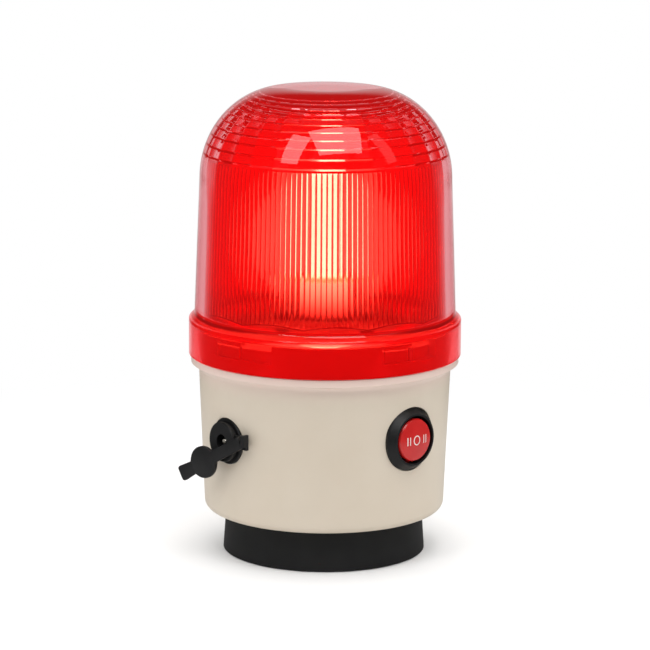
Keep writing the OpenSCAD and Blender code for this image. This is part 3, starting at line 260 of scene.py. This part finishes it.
# Painted glow: a faint red light of its own, stronger on the ribbed wall than on the skirt, stands in for the
# lamp's light that its dye scatters
paint_light_by_height(lens_inside, 88, 92, 0.03, 0.06)
# Blown glass of the lamp's stem
lamp_stem_glass = clear_plastic("pressed_lamp_glass", "#F2F5F2", "#ECF0EE", 0.05, 1.5)


def glowing(name, colour, light, strength):
    """A lit surface: its own colour with light of its own, a little uneven as a hot lamp is."""
    material = bpy.data.materials.new(name)
    material.use_nodes = True
    tree = material.node_tree
    tree.nodes.clear()
    place = add(tree, "ShaderNodeTexCoord")
    cloud = add(tree, "ShaderNodeTexNoise", {"Scale": 1000 / 6, "Detail": 2.0},
                {"Vector": place.outputs["Object"]})
    tones = add(tree, "ShaderNodeValToRGB", links={"Fac": cloud.outputs["Fac"]})
    tones.color_ramp.elements[0].color = linear(colour)
    tones.color_ramp.elements[1].color = linear(light)
    shader = add(tree, "ShaderNodeBsdfPrincipled",
                 {"Roughness": 0.3, "Emission Color": linear(light), "Emission Strength": strength},
                 {"Base Color": tones.outputs["Color"]})
    add(tree, "ShaderNodeOutputMaterial", links={"Surface": shader.outputs["BSDF"]})
    return material


# Frosted glass of the lit lamp: the whole envelope glows warm
frosted_lamp_glass = glowing("frosted_lamp_glass", "#FFF2C8", "#FFEDB4", 32.0)
# White-hot tungsten
hot_tungsten = glowing("hot_tungsten", "#FFE9B0", "#FFF4D0", 40.0)

NODE_FINISH = {
    "magnet_boot": black_rubber, "magnet_ring": sintered_ferrite, "magnet_pot": drawn_steel,
    "magnet_screws": zinc_steel, "base_housing": cream_abs, "lens": lens_skin, "red_filter": lens_inside,
    "lens_gasket": black_rubber, "chassis_deck": white_styrene, "deck_screws": zinc_steel,
    "lamp_post": post_aluminium_with_painted_light, "post_screws": zinc_steel, "lamp_contact": drawn_brass,
    "contact_carrier": paper_phenolic, "bulb_cap": cap_brass_with_painted_light, "bulb_glass": frosted_lamp_glass,
    "bulb_stem": lamp_stem_glass, "bulb_filament": hot_tungsten, "bearing_bush": sintered_bronze,
    "thrust_washer": white_acetal, "retaining_ring": spring_steel, "reflector_gear": white_acetal,
    "reflector": mirror_lacquer, "reflector_screws": zinc_steel, "motor_can": drawn_steel,
    "motor_magnet": sintered_ferrite, "motor_end_cap": white_acetal, "motor_terminals": tinned_brass,
    "motor_bearing": sintered_bronze, "motor_shaft": zinc_steel, "motor_rotor": enamelled_copper,
    "drive_pinion": white_acetal, "motor_screws": zinc_steel, "battery_tray": black_nylon,
    "tray_screws": zinc_steel, "battery_cells": cell_sleeve, "cell_contacts": bright_nickel,
    "circuit_board": green_board, "board_screws": zinc_steel, "board_connector": white_styrene,
    "board_chip": black_epoxy, "board_capacitor": capacitor_sleeve, "board_coil": sintered_ferrite,
    "board_transistor": black_epoxy, "switch_body": black_nylon, "switch_rocker": rocker_red,
    "switch_terminals": tinned_brass, "jack_body": black_nylon, "jack_pin": bright_nickel,
    "jack_nut": zinc_steel, "jack_terminals": tinned_brass, "cap_ring": cap_rubber,
    "jack_cap": cap_rubber, "battery_leads": red_pvc, "jack_leads": black_pvc,
    "switch_leads": red_pvc, "motor_leads": black_pvc, "lamp_leads": red_pvc,
}
for name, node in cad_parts.items():
    node.data.materials.clear()
    node.data.materials.append(NODE_FINISH[name])


def mesh_object(name, points, faces, smooth=True):
    """A mesh object at the origin from points in millimetres."""
    mesh = bpy.data.meshes.new(name)
    mesh.from_pydata([tuple(c * MM for c in p) for p in points], [], faces)
    mesh.validate()
    mesh.update()
    for polygon in mesh.polygons:
        polygon.use_smooth = smooth
    made = bpy.data.objects.new(name, mesh)
    bpy.context.scene.collection.objects.link(made)
    return made


def wall_point(az, z, r, p):
    """A point beside a seat on the housing's wall: x to the right, y up, z outward."""
    a = math.radians(az)
    out = r + p[2]
    return (out * math.sin(a) + p[0] * math.cos(a), -out * math.cos(a) + p[0] * math.sin(a), z + p[1])


# Lens: a clear skin over a red lining, both turned from profiles, then given ribs, facets and a scalloped
# edge by rule. A turned row has FINE columns where it carries ribs, and COARSE columns elsewhere.
FACET_TURN = -1.8
FINE, COARSE = 1800, 300
SKIRT_R, SKIRT_FROM, SKIRT_TOP = 50.0, 73.3, 86.4
# Steps inward and upward over the skirt's sloping shoulder, from its crisp edge to the wall
SHOULDER = ((0, 0), (0.05, 0.22), (0.18, 0.4), (0.36, 0.58), (0.9, 1.1),
            (1.5, 1.68), (1.86, 2.06), (2.02, 2.32), (2.08, 2.7), (2.1, 3.1))
WALL_LOW_R, WALL_HIGH_R, DOME_FROM, DOME_H, CROWN_R = 47.9, 46.0, 138.3, 33.0, 15.3
INNER_AT_93, INNER_TAPER = 44.3, 0.0324
RIB_FROM, RIB_TOP = 90.0, 145.0
# The skirt's bore, and the radius of its clear skin's back
SKIRT_BORE_R, SKIRT_FILM_R = 46.9, 49.2
# The lining's wall, and the thin air gap between skin and lining
LINING, LINING_GAP = 0.55, 0.05
# Short upright face at each step of the dome: its least height, the share of the step that is added to it, and
# how far its top leans out, which turns the view down to the lamp
RISER, RISER_SHARE, RISER_LEAN = 0.36, 0.12, 0.06
# A step's tread starts a little further in than the dome's curve, and its first part is rounded down by this
TREAD_IN, TREAD_ROUND = 0.05, 0.1
# Locking lugs: their azimuths and width in degrees, then their heights and inner radius
LUGS, LUG_TURN, LUG_LOW, LUG_HIGH, LUG_R = (33, -46, 122, -147), 12.2, 77.8, 82.6, 44.7
RING_HEIGHTS = (149.4, 152.7, 155.5, 158.0, 160.2, 162.0, 163.5, 164.9, 166.0, 166.9, 167.6)


def inner_r(z):
    """Radius of the lens's hollow at a height, up to the dome and over it."""
    if z <= DOME_FROM:
        return INNER_AT_93 - (z - 93) * INNER_TAPER
    start = INNER_AT_93 - (DOME_FROM - 93) * INNER_TAPER - CROWN_R
    rise = min(1.0, (z - DOME_FROM) / (DOME_H - 3))
    return CROWN_R + start * math.sqrt(max(0.0, 1 - rise * rise))


def skin_rows():
    """Rows of the lens's smooth outside from its foot to its crown: (columns, radius, z, kind)."""
    rows = [(COARSE, SKIRT_R - 0.25, SKIRT_FROM, "skin"), (COARSE, SKIRT_R, SKIRT_FROM + 0.25, "skin")]
    rows += [(COARSE, SKIRT_R, SKIRT_FROM + 3 + i * 3.2, "skin") for i in range(4)]
    rows += [(COARSE, SKIRT_R - r, SKIRT_TOP + z, "skin") for r, z in SHOULDER]
    foot = SKIRT_TOP + SHOULDER[-1][1]
    for i in range(1, 9):
        share = i / 8
        z = foot + (DOME_FROM - foot) * share
        rows.append((COARSE, WALL_LOW_R + (WALL_HIGH_R - WALL_LOW_R) * share, z, "skin"))
    for i in range(1, 33):
        a = math.radians(90 * i / 32)
        rows.append((COARSE, CROWN_R + (WALL_HIGH_R - CROWN_R) * math.cos(a),
                     DOME_FROM + DOME_H * math.sin(a), "skin"))
    rows += [(COARSE // 5, r, DOME_FROM + DOME_H, "skin") for r in (10.0, 5.0)]
    rows.append((1, 0.0, DOME_FROM + DOME_H, "skin"))
    return rows


def dome_rows(inset):
    """Stepped and faceted rows from the crown down to the top of the ribs. Light that slopes down through one
    wall's upright faces meets those of the next, so a row moves down by less than it moves in."""
    down = inset * 0.42
    top = DOME_FROM + DOME_H - 3.6 - down
    rows = [(1, 0.0, top, "plain"), (COARSE // 5, 8.0, top, "plain"), (COARSE, 14.6 - inset, top, "plain")]
    heights = (RIB_TOP + 1.2,) + RING_HEIGHTS
    for i in range(len(heights) - 1, 0, -1):
        low, high = heights[i - 1], heights[i]
        r_low, r_high = inner_r(low), inner_r(high)
        riser = RISER + (high - low) * RISER_SHARE
        rows.append((COARSE, r_high - TREAD_IN - inset, high - 0.02 - down, "facet"))
        for j in range(4):
            share = 0.12 * (3 - j) / 3
            inward = -RISER_LEAN if j == 3 else TREAD_IN
            z = low + riser + (high - low - riser) * share - TREAD_ROUND * (j / 3) ** 2
            rows.append((COARSE, r_low + (r_high - r_low) * share - inward - inset, z - down, "facet"))
        rows.append((COARSE, r_low - 0.02 - inset, low + 0.02 - down, "facet"))
    return rows


def between_rows(inset):
    """Rows where the clear skin meets the red lining, from the crown to the foot."""
    rows = dome_rows(inset)
    rows += [(COARSE, inner_r(z) - inset, z, "plain")
             for z in (RIB_TOP, RIB_TOP - 15, RIB_TOP - 30, RIB_TOP - 45, RIB_FROM, RIB_FROM - 1.0)]
    rows.append((COARSE, SKIRT_BORE_R - inset, 87.2, "plain"))
    rows.append((COARSE, SKIRT_FILM_R - 0.9 - inset, 86.6, "plain"))
    rows += [(COARSE, SKIRT_FILM_R - inset, z, "plain") for z in (85.6, 80.0, SKIRT_FROM + 0.02)]
    return rows


def rib_rows():
    """Rows of the red lining's ribbed inside from the crown to the foot."""
    rows = dome_rows(LINING)
    rows.append((FINE, inner_r(RIB_TOP) - LINING, RIB_TOP + 0.3, "plain"))
    for i in range(12):
        z = RIB_TOP - 0.4 + (RIB_FROM - RIB_TOP + 0.4) * i / 11
        rows.append((FINE, inner_r(z) - LINING, z, "rib_edge" if i == 11 else "rib"))
    foot_r = inner_r(RIB_FROM) - LINING
    rows.append((FINE, foot_r + 0.25, RIB_FROM - 0.25, "scallop"))
    rows.append((COARSE, foot_r + 0.5, RIB_FROM - 1.6, "plain"))
    rows.append((COARSE, foot_r + 1.2, RIB_FROM - 3.0, "plain"))
    rows.append((COARSE, SKIRT_BORE_R - 0.6, 85.1, "plain"))
    rows.append((COARSE, SKIRT_BORE_R, 84.5, "plain"))
    rows.append((COARSE, SKIRT_BORE_R, LUG_HIGH + 0.02, "plain"))
    rows.append((COARSE, SKIRT_BORE_R, LUG_HIGH, "lug"))
    rows.append((COARSE, SKIRT_BORE_R, LUG_LOW, "lug"))
    rows.append((COARSE, SKIRT_BORE_R, LUG_LOW - 0.02, "plain"))
    rows.append((COARSE, SKIRT_BORE_R, SKIRT_FROM + 0.02, "plain"))
    return rows


def in_lug(az):
    return any(abs((az - lug + 180) % 360 - 180) <= LUG_TURN / 2 for lug in LUGS)


def lens_blank(rows):
    """A closed wall turned from rows, with the weights that the rule below reads."""
    points, faces, starts = [], [], []
    weights = {"rib_weight": ("rib", "rib_edge"), "facet_weight": ("facet",),
               "scallop_weight": ("rib_edge", "scallop"),
               "inside_weight": ("facet", "plain", "rib", "rib_edge", "scallop", "lug")}
    values = {name: [] for name in weights}
    for count, r, z, kind in rows:
        starts.append(len(points))
        for i in range(count):
            az = FACET_TURN + 360 * i / count
            a = math.radians(az)
            here = LUG_R if kind == "lug" and in_lug(az) else r
            points.append((here * math.sin(a), -here * math.cos(a), z))
        for name, kinds in weights.items():
            values[name] += [1.0 if kind in kinds else 0.0] * count
    rows, starts = rows + rows[:1], starts + starts[:1]
    for k in range(len(rows) - 1):
        m, n, a0, b0 = rows[k][0], rows[k + 1][0], starts[k], starts[k + 1]
        if m == n == 1:
            continue
        for i in range(max(m, n) if 1 in (m, n) else min(m, n)):
            if m == n:
                faces.append((a0 + i, a0 + (i + 1) % m, b0 + (i + 1) % n, b0 + i))
            elif m == 1:
                faces.append((a0, b0 + (i + 1) % n, b0 + i))
            elif n == 1:
                faces.append((a0 + i, a0 + (i + 1) % m, b0))
            elif m < n:
                step = n // m
                fan = [b0 + (i * step + j) % n for j in range(step, -1, -1)]
                faces.append((a0 + i, a0 + (i + 1) % m, *fan))
            else:
                step = m // n
                fan = [a0 + (i * step + j) % m for j in range(step + 1)]
                faces.append((*fan, b0 + (i + 1) % n, b0 + i))
    blank = mesh_object("lens_blank", points, faces)
    for name, value in values.items():
        attribute = blank.data.attributes.new(name, "FLOAT", "POINT")
        attribute.data.foreach_set("value", np.array(value, np.float32))
    return blank


def group_input(tree, name, kind, value):
    socket = tree.interface.new_socket(name, in_out="INPUT", socket_type=kind)
    if value is not None:
        socket.default_value = value
    return socket


def moulded_rule():
    """Geometry nodes that cut the ribs, flatten the facets and lift the scalloped edge of a turned lens."""
    tree = bpy.data.node_groups.new("lens_ribs_and_facets", "GeometryNodeTree")
    tree.interface.new_socket("Geometry", in_out="INPUT", socket_type="NodeSocketGeometry")
    sizes = {
        "Ribs": ("NodeSocketFloat", 150.0), "Rib depth": ("NodeSocketFloat", 0.15 * MM),
        "Rib crown": ("NodeSocketFloat", 4.0),
        "Facets": ("NodeSocketFloat", 30.0), "Facet turn": ("NodeSocketFloat", math.radians(FACET_TURN)),
        "Scallops": ("NodeSocketFloat", 12.0), "Scallop turn": ("NodeSocketFloat", math.radians(-10.0)),
        "Scallop height": ("NodeSocketFloat", 1.3 * MM),
        "Outside": ("NodeSocketMaterial", None), "Inside": ("NodeSocketMaterial", None),
    }
    for name, (kind, value) in sizes.items():
        group_input(tree, name, kind, value)
    tree.interface.new_socket("Geometry", in_out="OUTPUT", socket_type="NodeSocketGeometry")
    given = add(tree, "NodeGroupInput")

    def maths(operation, *values):
        links = {i: v for i, v in enumerate(values) if not isinstance(v, (int, float))}
        settings = {i: v for i, v in enumerate(values) if isinstance(v, (int, float))}
        settings["operation"] = operation
        return add(tree, "ShaderNodeMath", settings, links).outputs[0]

    def weight(name):
        return add(tree, "GeometryNodeInputNamedAttribute",
                   {"data_type": "FLOAT", "Name": name}).outputs["Attribute"]

    place = add(tree, "GeometryNodeInputPosition").outputs["Position"]
    parts = add(tree, "ShaderNodeSeparateXYZ", links={"Vector": place})
    x, y = parts.outputs["X"], parts.outputs["Y"]
    turn = maths("ARCTAN2", x, maths("MULTIPLY", y, -1.0))
    from_facet = maths("SUBTRACT", turn, given.outputs["Facet turn"])
    # Ribs: a flat crown across most of each pitch that rounds off into a sharp valley between two
    per_turn = maths("DIVIDE", given.outputs["Ribs"], math.tau)
    rib_share = maths("FRACT", maths("MULTIPLY", from_facet, per_turn))
    from_crown = maths("ABSOLUTE", maths("SUBTRACT", maths("MULTIPLY", rib_share, 2.0), 1.0))
    bump = maths("SUBTRACT", 1.0, maths("POWER", from_crown, given.outputs["Rib crown"]))
    rib_in = maths("MULTIPLY", maths("MULTIPLY", bump, given.outputs["Rib depth"]), weight("rib_weight"))
    # Facets: a straight chord between the corners of a regular polygon
    facet_turn = maths("DIVIDE", math.tau, given.outputs["Facets"])
    half = maths("MULTIPLY", facet_turn, 0.5)
    across = maths("SUBTRACT", maths("MULTIPLY", maths("FRACT", maths("DIVIDE", from_facet, facet_turn)),
                                     facet_turn), half)
    chord = maths("DIVIDE", maths("COSINE", half), maths("COSINE", across))
    facet_scale = maths("ADD", 1.0, maths("MULTIPLY", maths("SUBTRACT", chord, 1.0), weight("facet_weight")))
    # Scallops along the lower edge of the ribs
    scallop_turn = maths("DIVIDE", math.tau, given.outputs["Scallops"])
    scallop_share = maths("FRACT", maths("DIVIDE", maths("SUBTRACT", turn, given.outputs["Scallop turn"]),
                                         scallop_turn))
    lift = maths("MULTIPLY", maths("MULTIPLY", maths("SINE", maths("MULTIPLY", scallop_share, math.pi)),
                                   given.outputs["Scallop height"]), weight("scallop_weight"))
    radius = maths("SQRT", maths("ADD", maths("MULTIPLY", x, x), maths("MULTIPLY", y, y)))
    scale = maths("SUBTRACT", facet_scale, maths("DIVIDE", rib_in, maths("MAXIMUM", radius, 0.001)))
    new_place = add(tree, "ShaderNodeCombineXYZ", links={
        "X": maths("MULTIPLY", x, scale), "Y": maths("MULTIPLY", y, scale),
        "Z": maths("ADD", parts.outputs["Z"], lift)})
    moved = add(tree, "GeometryNodeSetPosition", links={
        "Geometry": given.outputs["Geometry"], "Position": new_place.outputs["Vector"]})
    real = add(tree, "GeometryNodeRealizeInstances", links={"Geometry": moved.outputs["Geometry"]})
    outside = add(tree, "GeometryNodeSetMaterial", links={
        "Geometry": real.outputs["Geometry"], "Material": given.outputs["Outside"]})
    inner = add(tree, "FunctionNodeCompare", {"data_type": "FLOAT", "operation": "GREATER_THAN", 1: 0.4},
                {0: weight("inside_weight")})
    finished = add(tree, "GeometryNodeSetMaterial", links={
        "Geometry": outside.outputs["Geometry"], "Selection": inner.outputs["Result"],
        "Material": given.outputs["Inside"]})
    add(tree, "NodeGroupOutput", links={"Geometry": finished.outputs["Geometry"]})
    return tree


def made_plain(shaped, name, tree, values):
    """Runs geometry nodes on an object and keeps the result as a plain mesh."""
    modifier = shaped.modifiers.new("rule", "NODES")
    modifier.node_group = tree
    for item in tree.interface.items_tree:
        if item.item_type == "SOCKET" and item.in_out == "INPUT" and item.name in values:
            modifier[item.identifier] = values[item.name]
    bpy.context.view_layer.update()
    graph = bpy.context.evaluated_depsgraph_get()
    mesh = bpy.data.meshes.new_from_object(shaped.evaluated_get(graph), depsgraph=graph)
    mesh.name = name
    bpy.data.objects.remove(shaped)
    made = bpy.data.objects.new(name, mesh)
    bpy.context.scene.collection.objects.link(made)
    return made


lens_rule = moulded_rule()
clear_rows = skin_rows() + between_rows(0)
lining_rows = between_rows(LINING_GAP)[::-1] + rib_rows()
for name, node, slot, rows, inside in (
        ("lens_clear_skin", "lens", "lens_plastic", clear_rows, lens_skin_back),
        ("lens_red_lining", "red_filter", "filter_plastic", lining_rows, lens_inside)):
    moulding = made_plain(lens_blank(rows), name, lens_rule, {"Outside": lens_skin, "Inside": inside})
    moulding.data.polygons.foreach_set("use_smooth", [True] * len(moulding.data.polygons))
    moulding.data.set_sharp_from_angle(angle=math.radians(28))
    # The dome's steps are cut sharp all the way round, also where step and tread differ by a small angle
    edges = bmesh.new()
    edges.from_mesh(moulding.data)
    for edge in edges.edges:
        first, last = (end.co.z for end in edge.verts)
        if first > RIB_TOP * MM and abs(first - last) < 1e-6 and edge.calc_face_angle(0) > math.radians(9):
            edge.smooth = False
    edges.to_mesh(moulding.data)
    edges.free()
    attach(moulding, "lens")
    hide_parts(node)

# Rocker marks: a ring between two pairs of bars, printed on the crown in a row
SWITCH_AZ, SWITCH_Z, SWITCH_SEAT_R = 43.2, 48.4, 44.1
ROCKER_R, BEZEL_H, ROCKER_CROWN = 7.75, 3.5, 0.9
# The printed line's width, the bars' places and length, and the ring's inner half width and half height
INK_WIDTH, BAR_PLACES, BAR_LENGTH = 0.32, (-4.3, -3.1, 3.6, 4.8), 3.0
RING_HALF_WIDTH, RING_HALF_HEIGHT = 1.25, 1.45


def crown_at(x, y, above):
    """A point on the rocker's crown, in the switch's own axes."""
    share = min(1.0, (x * x + y * y) / ROCKER_R ** 2)
    height = BEZEL_H + ROCKER_CROWN * (1 - share) + above
    return wall_point(SWITCH_AZ, SWITCH_Z, SWITCH_SEAT_R, (x, y, height))


def marks():
    points, faces = [], []

    def patch(grid):
        """A thin slab between the crown and the ink's face, from rows of places."""
        rows, columns = len(grid), len(grid[0])
        base = len(points)
        for above in (0.05, -0.05):
            points.extend(crown_at(x, y, above) for row in grid for x, y in row)
        top, low = base, base + rows * columns
        for r in range(rows - 1):
            for c in range(columns - 1):
                a, b, d, e = (r * columns + c, r * columns + c + 1, (r + 1) * columns + c + 1,
                              (r + 1) * columns + c)
                faces.append((top + a, top + b, top + d, top + e))
                faces.append((low + e, low + d, low + b, low + a))
        edge = [(0, c) for c in range(columns)]
        edge += [(r, columns - 1) for r in range(1, rows)]
        edge += [(rows - 1, c) for c in range(columns - 2, -1, -1)]
        edge += [(r, 0) for r in range(rows - 2, 0, -1)]
        ids = [r * columns + c for r, c in edge]
        for i, a in enumerate(ids):
            b = ids[(i + 1) % len(ids)]
            faces.append((top + b, top + a, low + a, low + b))

    for x in BAR_PLACES:
        patch([[(x + INK_WIDTH * (i - 0.5), BAR_LENGTH * (j / 6 - 0.5)) for i in range(2)] for j in range(7)])
    for k in range(4):
        turns = [math.radians(90 * k + 90 * j / 8) for j in range(9)]
        patch([[((RING_HALF_WIDTH + wider) * math.cos(turn), (RING_HALF_HEIGHT + wider) * math.sin(turn))
                for turn in turns] for wider in (0, INK_WIDTH)])
    made = mesh_object("rocker_marks", points, faces, smooth=False)
    mend = bmesh.new()
    mend.from_mesh(made.data)
    bmesh.ops.remove_doubles(mend, verts=mend.verts, dist=1e-7)
    bmesh.ops.recalc_face_normals(mend, faces=mend.faces)
    mend.to_mesh(made.data)
    mend.free()
    made.data.materials.append(white_ink)
    return made


rocker_marks = marks()
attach(rocker_marks, "rocker")


# Charging cap: one soft rubber moulding with rounded edges, a waist beside its disc and a pull tab
JACK_AZ, JACK_Z, JACK_SEAT_R, FOLD = -50.2, 46.3, 44.8, (12.2, 2.4, 3.4)
STRAP_SLOPE, STRAP_LEAN = math.radians(29.5), math.radians(11)
STRAP_HALF, RUBBER_HALF_T, EDGE, DISC_AT, DISC_R = 2.2, 0.8, 0.3, 21.0, 5.85
TAB_HALF, TAB_WIDE_HALF, TAB_FROM, TAB_END, TAB_CORNER = 2.4, 2.95, 26.5, 33.6, 1.3
STRAP_FROM, NUB_R, NUB_L = 1.05, 2.6, 3.0


def strap_point(s, y, z):
    """A point on the strap: s along it from the fold, y across it, z through its thickness."""
    x1 = -s * math.cos(STRAP_SLOPE) - y * math.sin(STRAP_SLOPE)
    y1 = -s * math.sin(STRAP_SLOPE) + y * math.cos(STRAP_SLOPE)
    x2 = x1 * math.cos(STRAP_LEAN) + z * math.sin(STRAP_LEAN)
    z2 = -x1 * math.sin(STRAP_LEAN) + z * math.cos(STRAP_LEAN)
    return wall_point(JACK_AZ, JACK_Z, JACK_SEAT_R, (FOLD[0] + x2, FOLD[1] + y1, FOLD[2] + z2))


def strap_half_width(s):
    """Half the width of strap, disc and tab at a distance from the fold, run into each other smoothly."""
    disc = math.sqrt(max(0.0, DISC_R ** 2 - (s - DISC_AT) ** 2))
    flare = min(1.0, max(0.0, (s - TAB_FROM) / (TAB_END - TAB_FROM)))
    band = STRAP_HALF if s < DISC_AT else TAB_HALF + (TAB_WIDE_HALF - TAB_HALF) * flare
    turn = max(0.0, s - (TAB_END - TAB_CORNER))
    band -= TAB_CORNER - math.sqrt(max(0.0, TAB_CORNER ** 2 - turn ** 2))
    return (disc ** 7 + band ** 7) ** (1 / 7)


def soft_cap():
    """Rings across the strap from its fold to its tab, with the plug below the disc."""
    points, faces = [], []
    stops = [STRAP_FROM + (TAB_END - 0.02 - STRAP_FROM) * i / 110 for i in range(111)]
    for i, s in enumerate(stops):
        ease = EDGE * 0.8 if i in (0, len(stops) - 1) else 0.0
        half, t = strap_half_width(s) - ease, RUBBER_HALF_T - ease
        across = [(half - EDGE, t), (half - 0.09, t - 0.09), (half, t - EDGE)]
        side = across + [(y, -z) for y, z in across[::-1]]
        points += [strap_point(s, y, z) for y, z in side + [(-y, z) for y, z in side[::-1]]]
    n = 12
    for k in range(len(stops) - 1):
        for j in range(n):
            a, b = k * n + j, k * n + (j + 1) % n
            faces.append((a, b, b + n, a + n))
    faces += [tuple(range(n))[::-1], tuple(range((len(stops) - 1) * n, len(stops) * n))]
    base, turns = len(points), 40
    plug = [(NUB_R, -RUBBER_HALF_T + 0.3), (NUB_R, -RUBBER_HALF_T - NUB_L + 0.4),
            (NUB_R - 0.12, -RUBBER_HALF_T - NUB_L + 0.12), (NUB_R - 0.4, -RUBBER_HALF_T - NUB_L)]
    for r, z in plug:
        for i in range(turns):
            turn = math.tau * i / turns
            points.append(strap_point(DISC_AT - r * math.cos(turn), r * math.sin(turn), z))
    for k in range(len(plug) - 1):
        for i in range(turns):
            a, b = base + k * turns + i, base + k * turns + (i + 1) % turns
            faces.append((a, b, b + turns, a + turns))
    faces += [tuple(range(base, base + turns))[::-1],
              tuple(range(base + (len(plug) - 1) * turns, base + len(plug) * turns))]
    made = mesh_object("soft_charging_cap", points, faces)
    mend = bmesh.new()
    mend.from_mesh(made.data)
    bmesh.ops.recalc_face_normals(mend, faces=mend.faces)
    mend.to_mesh(made.data)
    mend.free()
    made.data.set_sharp_from_angle(angle=math.radians(50))
    made.data.materials.append(cap_rubber)
    return made


charging_cap = soft_cap()
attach(charging_cap, "cap")
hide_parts("jack_cap")


# Studio: a white floor and backdrop, and soft lamps
def white_studio(name, floor_light, near, far):
    """Pale painted board that keeps the object's shadow. From near to far the camera and glass see it fade
    into the white of the backdrop, and gloss sees it fade into the dark of the room."""
    material = bpy.data.materials.new(name)
    material.use_nodes = True
    tree = material.node_tree
    tree.nodes.clear()
    place = add(tree, "ShaderNodeTexCoord")
    cloud = add(tree, "ShaderNodeTexNoise", {"Scale": 3.0}, {"Vector": place.outputs["Object"]})
    tones = add(tree, "ShaderNodeValToRGB", links={"Fac": cloud.outputs["Fac"]})
    tones.color_ramp.elements[0].color = linear("#F7F7F7")
    tones.color_ramp.elements[1].color = linear("#F9F9F9")
    board = add(tree, "ShaderNodeBsdfDiffuse", links={"Color": tones.outputs["Color"]})
    light = add(tree, "ShaderNodeEmission", {"Strength": floor_light})
    both = add(tree, "ShaderNodeAddShader", links={0: board.outputs["BSDF"], 1: light.outputs["Emission"]})
    white = add(tree, "ShaderNodeEmission", {"Strength": 1.0})
    away = add(tree, "ShaderNodeVectorMath", {"operation": "LENGTH"}, {0: place.outputs["Object"]})
    fade = add(tree, "ShaderNodeMapRange",
               {"interpolation_type": "SMOOTHSTEP", "From Min": near, "From Max": far},
               {"Value": away.outputs["Value"]})
    faded = add(tree, "ShaderNodeMixShader", links={
        "Fac": fade.outputs["Result"], 1: both.outputs["Shader"], 2: white.outputs["Emission"]})
    path = add(tree, "ShaderNodeLightPath")
    seen = add(tree, "ShaderNodeMath", {"operation": "MAXIMUM"},
               {0: path.outputs["Is Camera Ray"], 1: path.outputs["Is Transmission Ray"]})
    dark = add(tree, "ShaderNodeEmission", {"Strength": 0.03})
    darker = add(tree, "ShaderNodeMath", {"operation": "MAXIMUM", 1: 0.6}, {0: fade.outputs["Result"]})
    mirrored = add(tree, "ShaderNodeMath", {"operation": "MULTIPLY"},
                   {0: path.outputs["Is Glossy Ray"], 1: darker.outputs[0]})
    kept = add(tree, "ShaderNodeMixShader", links={
        "Fac": mirrored.outputs[0], 1: board.outputs["BSDF"], 2: dark.outputs["Emission"]})
    mixed = add(tree, "ShaderNodeMixShader", links={
        "Fac": seen.outputs[0], 1: kept.outputs["Shader"], 2: faded.outputs["Shader"]})
    add(tree, "ShaderNodeOutputMaterial", links={"Surface": mixed.outputs["Shader"]})
    return material


BOARD = 320
floor = mesh_object("studio_floor", [(-BOARD, -BOARD, -0.3), (BOARD, -BOARD, -0.3), (BOARD, BOARD, -0.3),
                                     (-BOARD, BOARD, -0.3)], [(0, 1, 2, 3)], smooth=False)
floor.data.materials.append(white_studio("pale_studio_floor", 0.03, 0.09, 0.3))

world = bpy.data.worlds.new("white_studio")
bpy.context.scene.world = world
world.use_nodes = True
sky = world.node_tree
sky.nodes.clear()
path = add(sky, "ShaderNodeLightPath")
white = add(sky, "ShaderNodeBackground", {"Color": (1, 1, 1, 1), "Strength": 1.0})
room = add(sky, "ShaderNodeTexCoord")
way = add(sky, "ShaderNodeSeparateXYZ", links={"Vector": room.outputs["Generated"]})


def studio_light(front, behind, dark, bright):
    """The room's light, which changes smoothly from its dark front to the white paper behind the object."""
    walls = add(sky, "ShaderNodeMapRange",
                {"interpolation_type": "SMOOTHSTEP", "From Min": front, "From Max": behind, "To Min": dark,
                 "To Max": bright}, {"Value": way.outputs["Y"]})
    return add(sky, "ShaderNodeBackground", {"Color": (1, 1, 1, 1)}, {"Strength": walls.outputs["Result"]})


# Matt surfaces are lit more from the white paper at the sides and behind than from the room in front
matt = studio_light(-0.8, 0.1, 0.26, 1.22)
# Gloss sees the paper only behind the object
gloss = studio_light(0.84, 0.99, 0.04, 0.55)
# Glass sees the same room with its paper lit brighter, so light mirrored inside the skin ends at a crisp edge
glass = studio_light(0.5, 0.84, 0.12, 0.85)
mixed = matt
for ray, light in (("Is Glossy Ray", gloss), ("Is Transmission Ray", glass), ("Is Camera Ray", white)):
    mixed = add(sky, "ShaderNodeMixShader",
                links={"Fac": path.outputs[ray], 1: mixed.outputs[0], 2: light.outputs[0]})
add(sky, "ShaderNodeOutputWorld", links={"Surface": mixed.outputs["Shader"]})


def softbox(name, place, target, width, height, power):
    """A soft lamp in millimetres and watts that faces a point."""
    data = bpy.data.lights.new(name, "AREA")
    data.shape = "RECTANGLE"
    data.size, data.size_y, data.energy = width * MM, height * MM, power
    lamp = bpy.data.objects.new(name, data)
    lamp.location = [c * MM for c in place]
    facing = Vector(target) - Vector(place)
    lamp.rotation_euler = facing.to_track_quat("-Z", "Y").to_euler()
    bpy.context.scene.collection.objects.link(lamp)


softbox("front_softbox", (190, -676, 1207), (0, 0, 90), 860, 790, 6.6)
softbox("left_softbox", (-555, -764, 1000), (0, 0, 90), 350, 790, 2.6)
softbox("right_softbox", (927, -412, 914), (0, 0, 90), 230, 750, 0.3)

bpy.context.scene.view_settings.view_transform = "Standard"
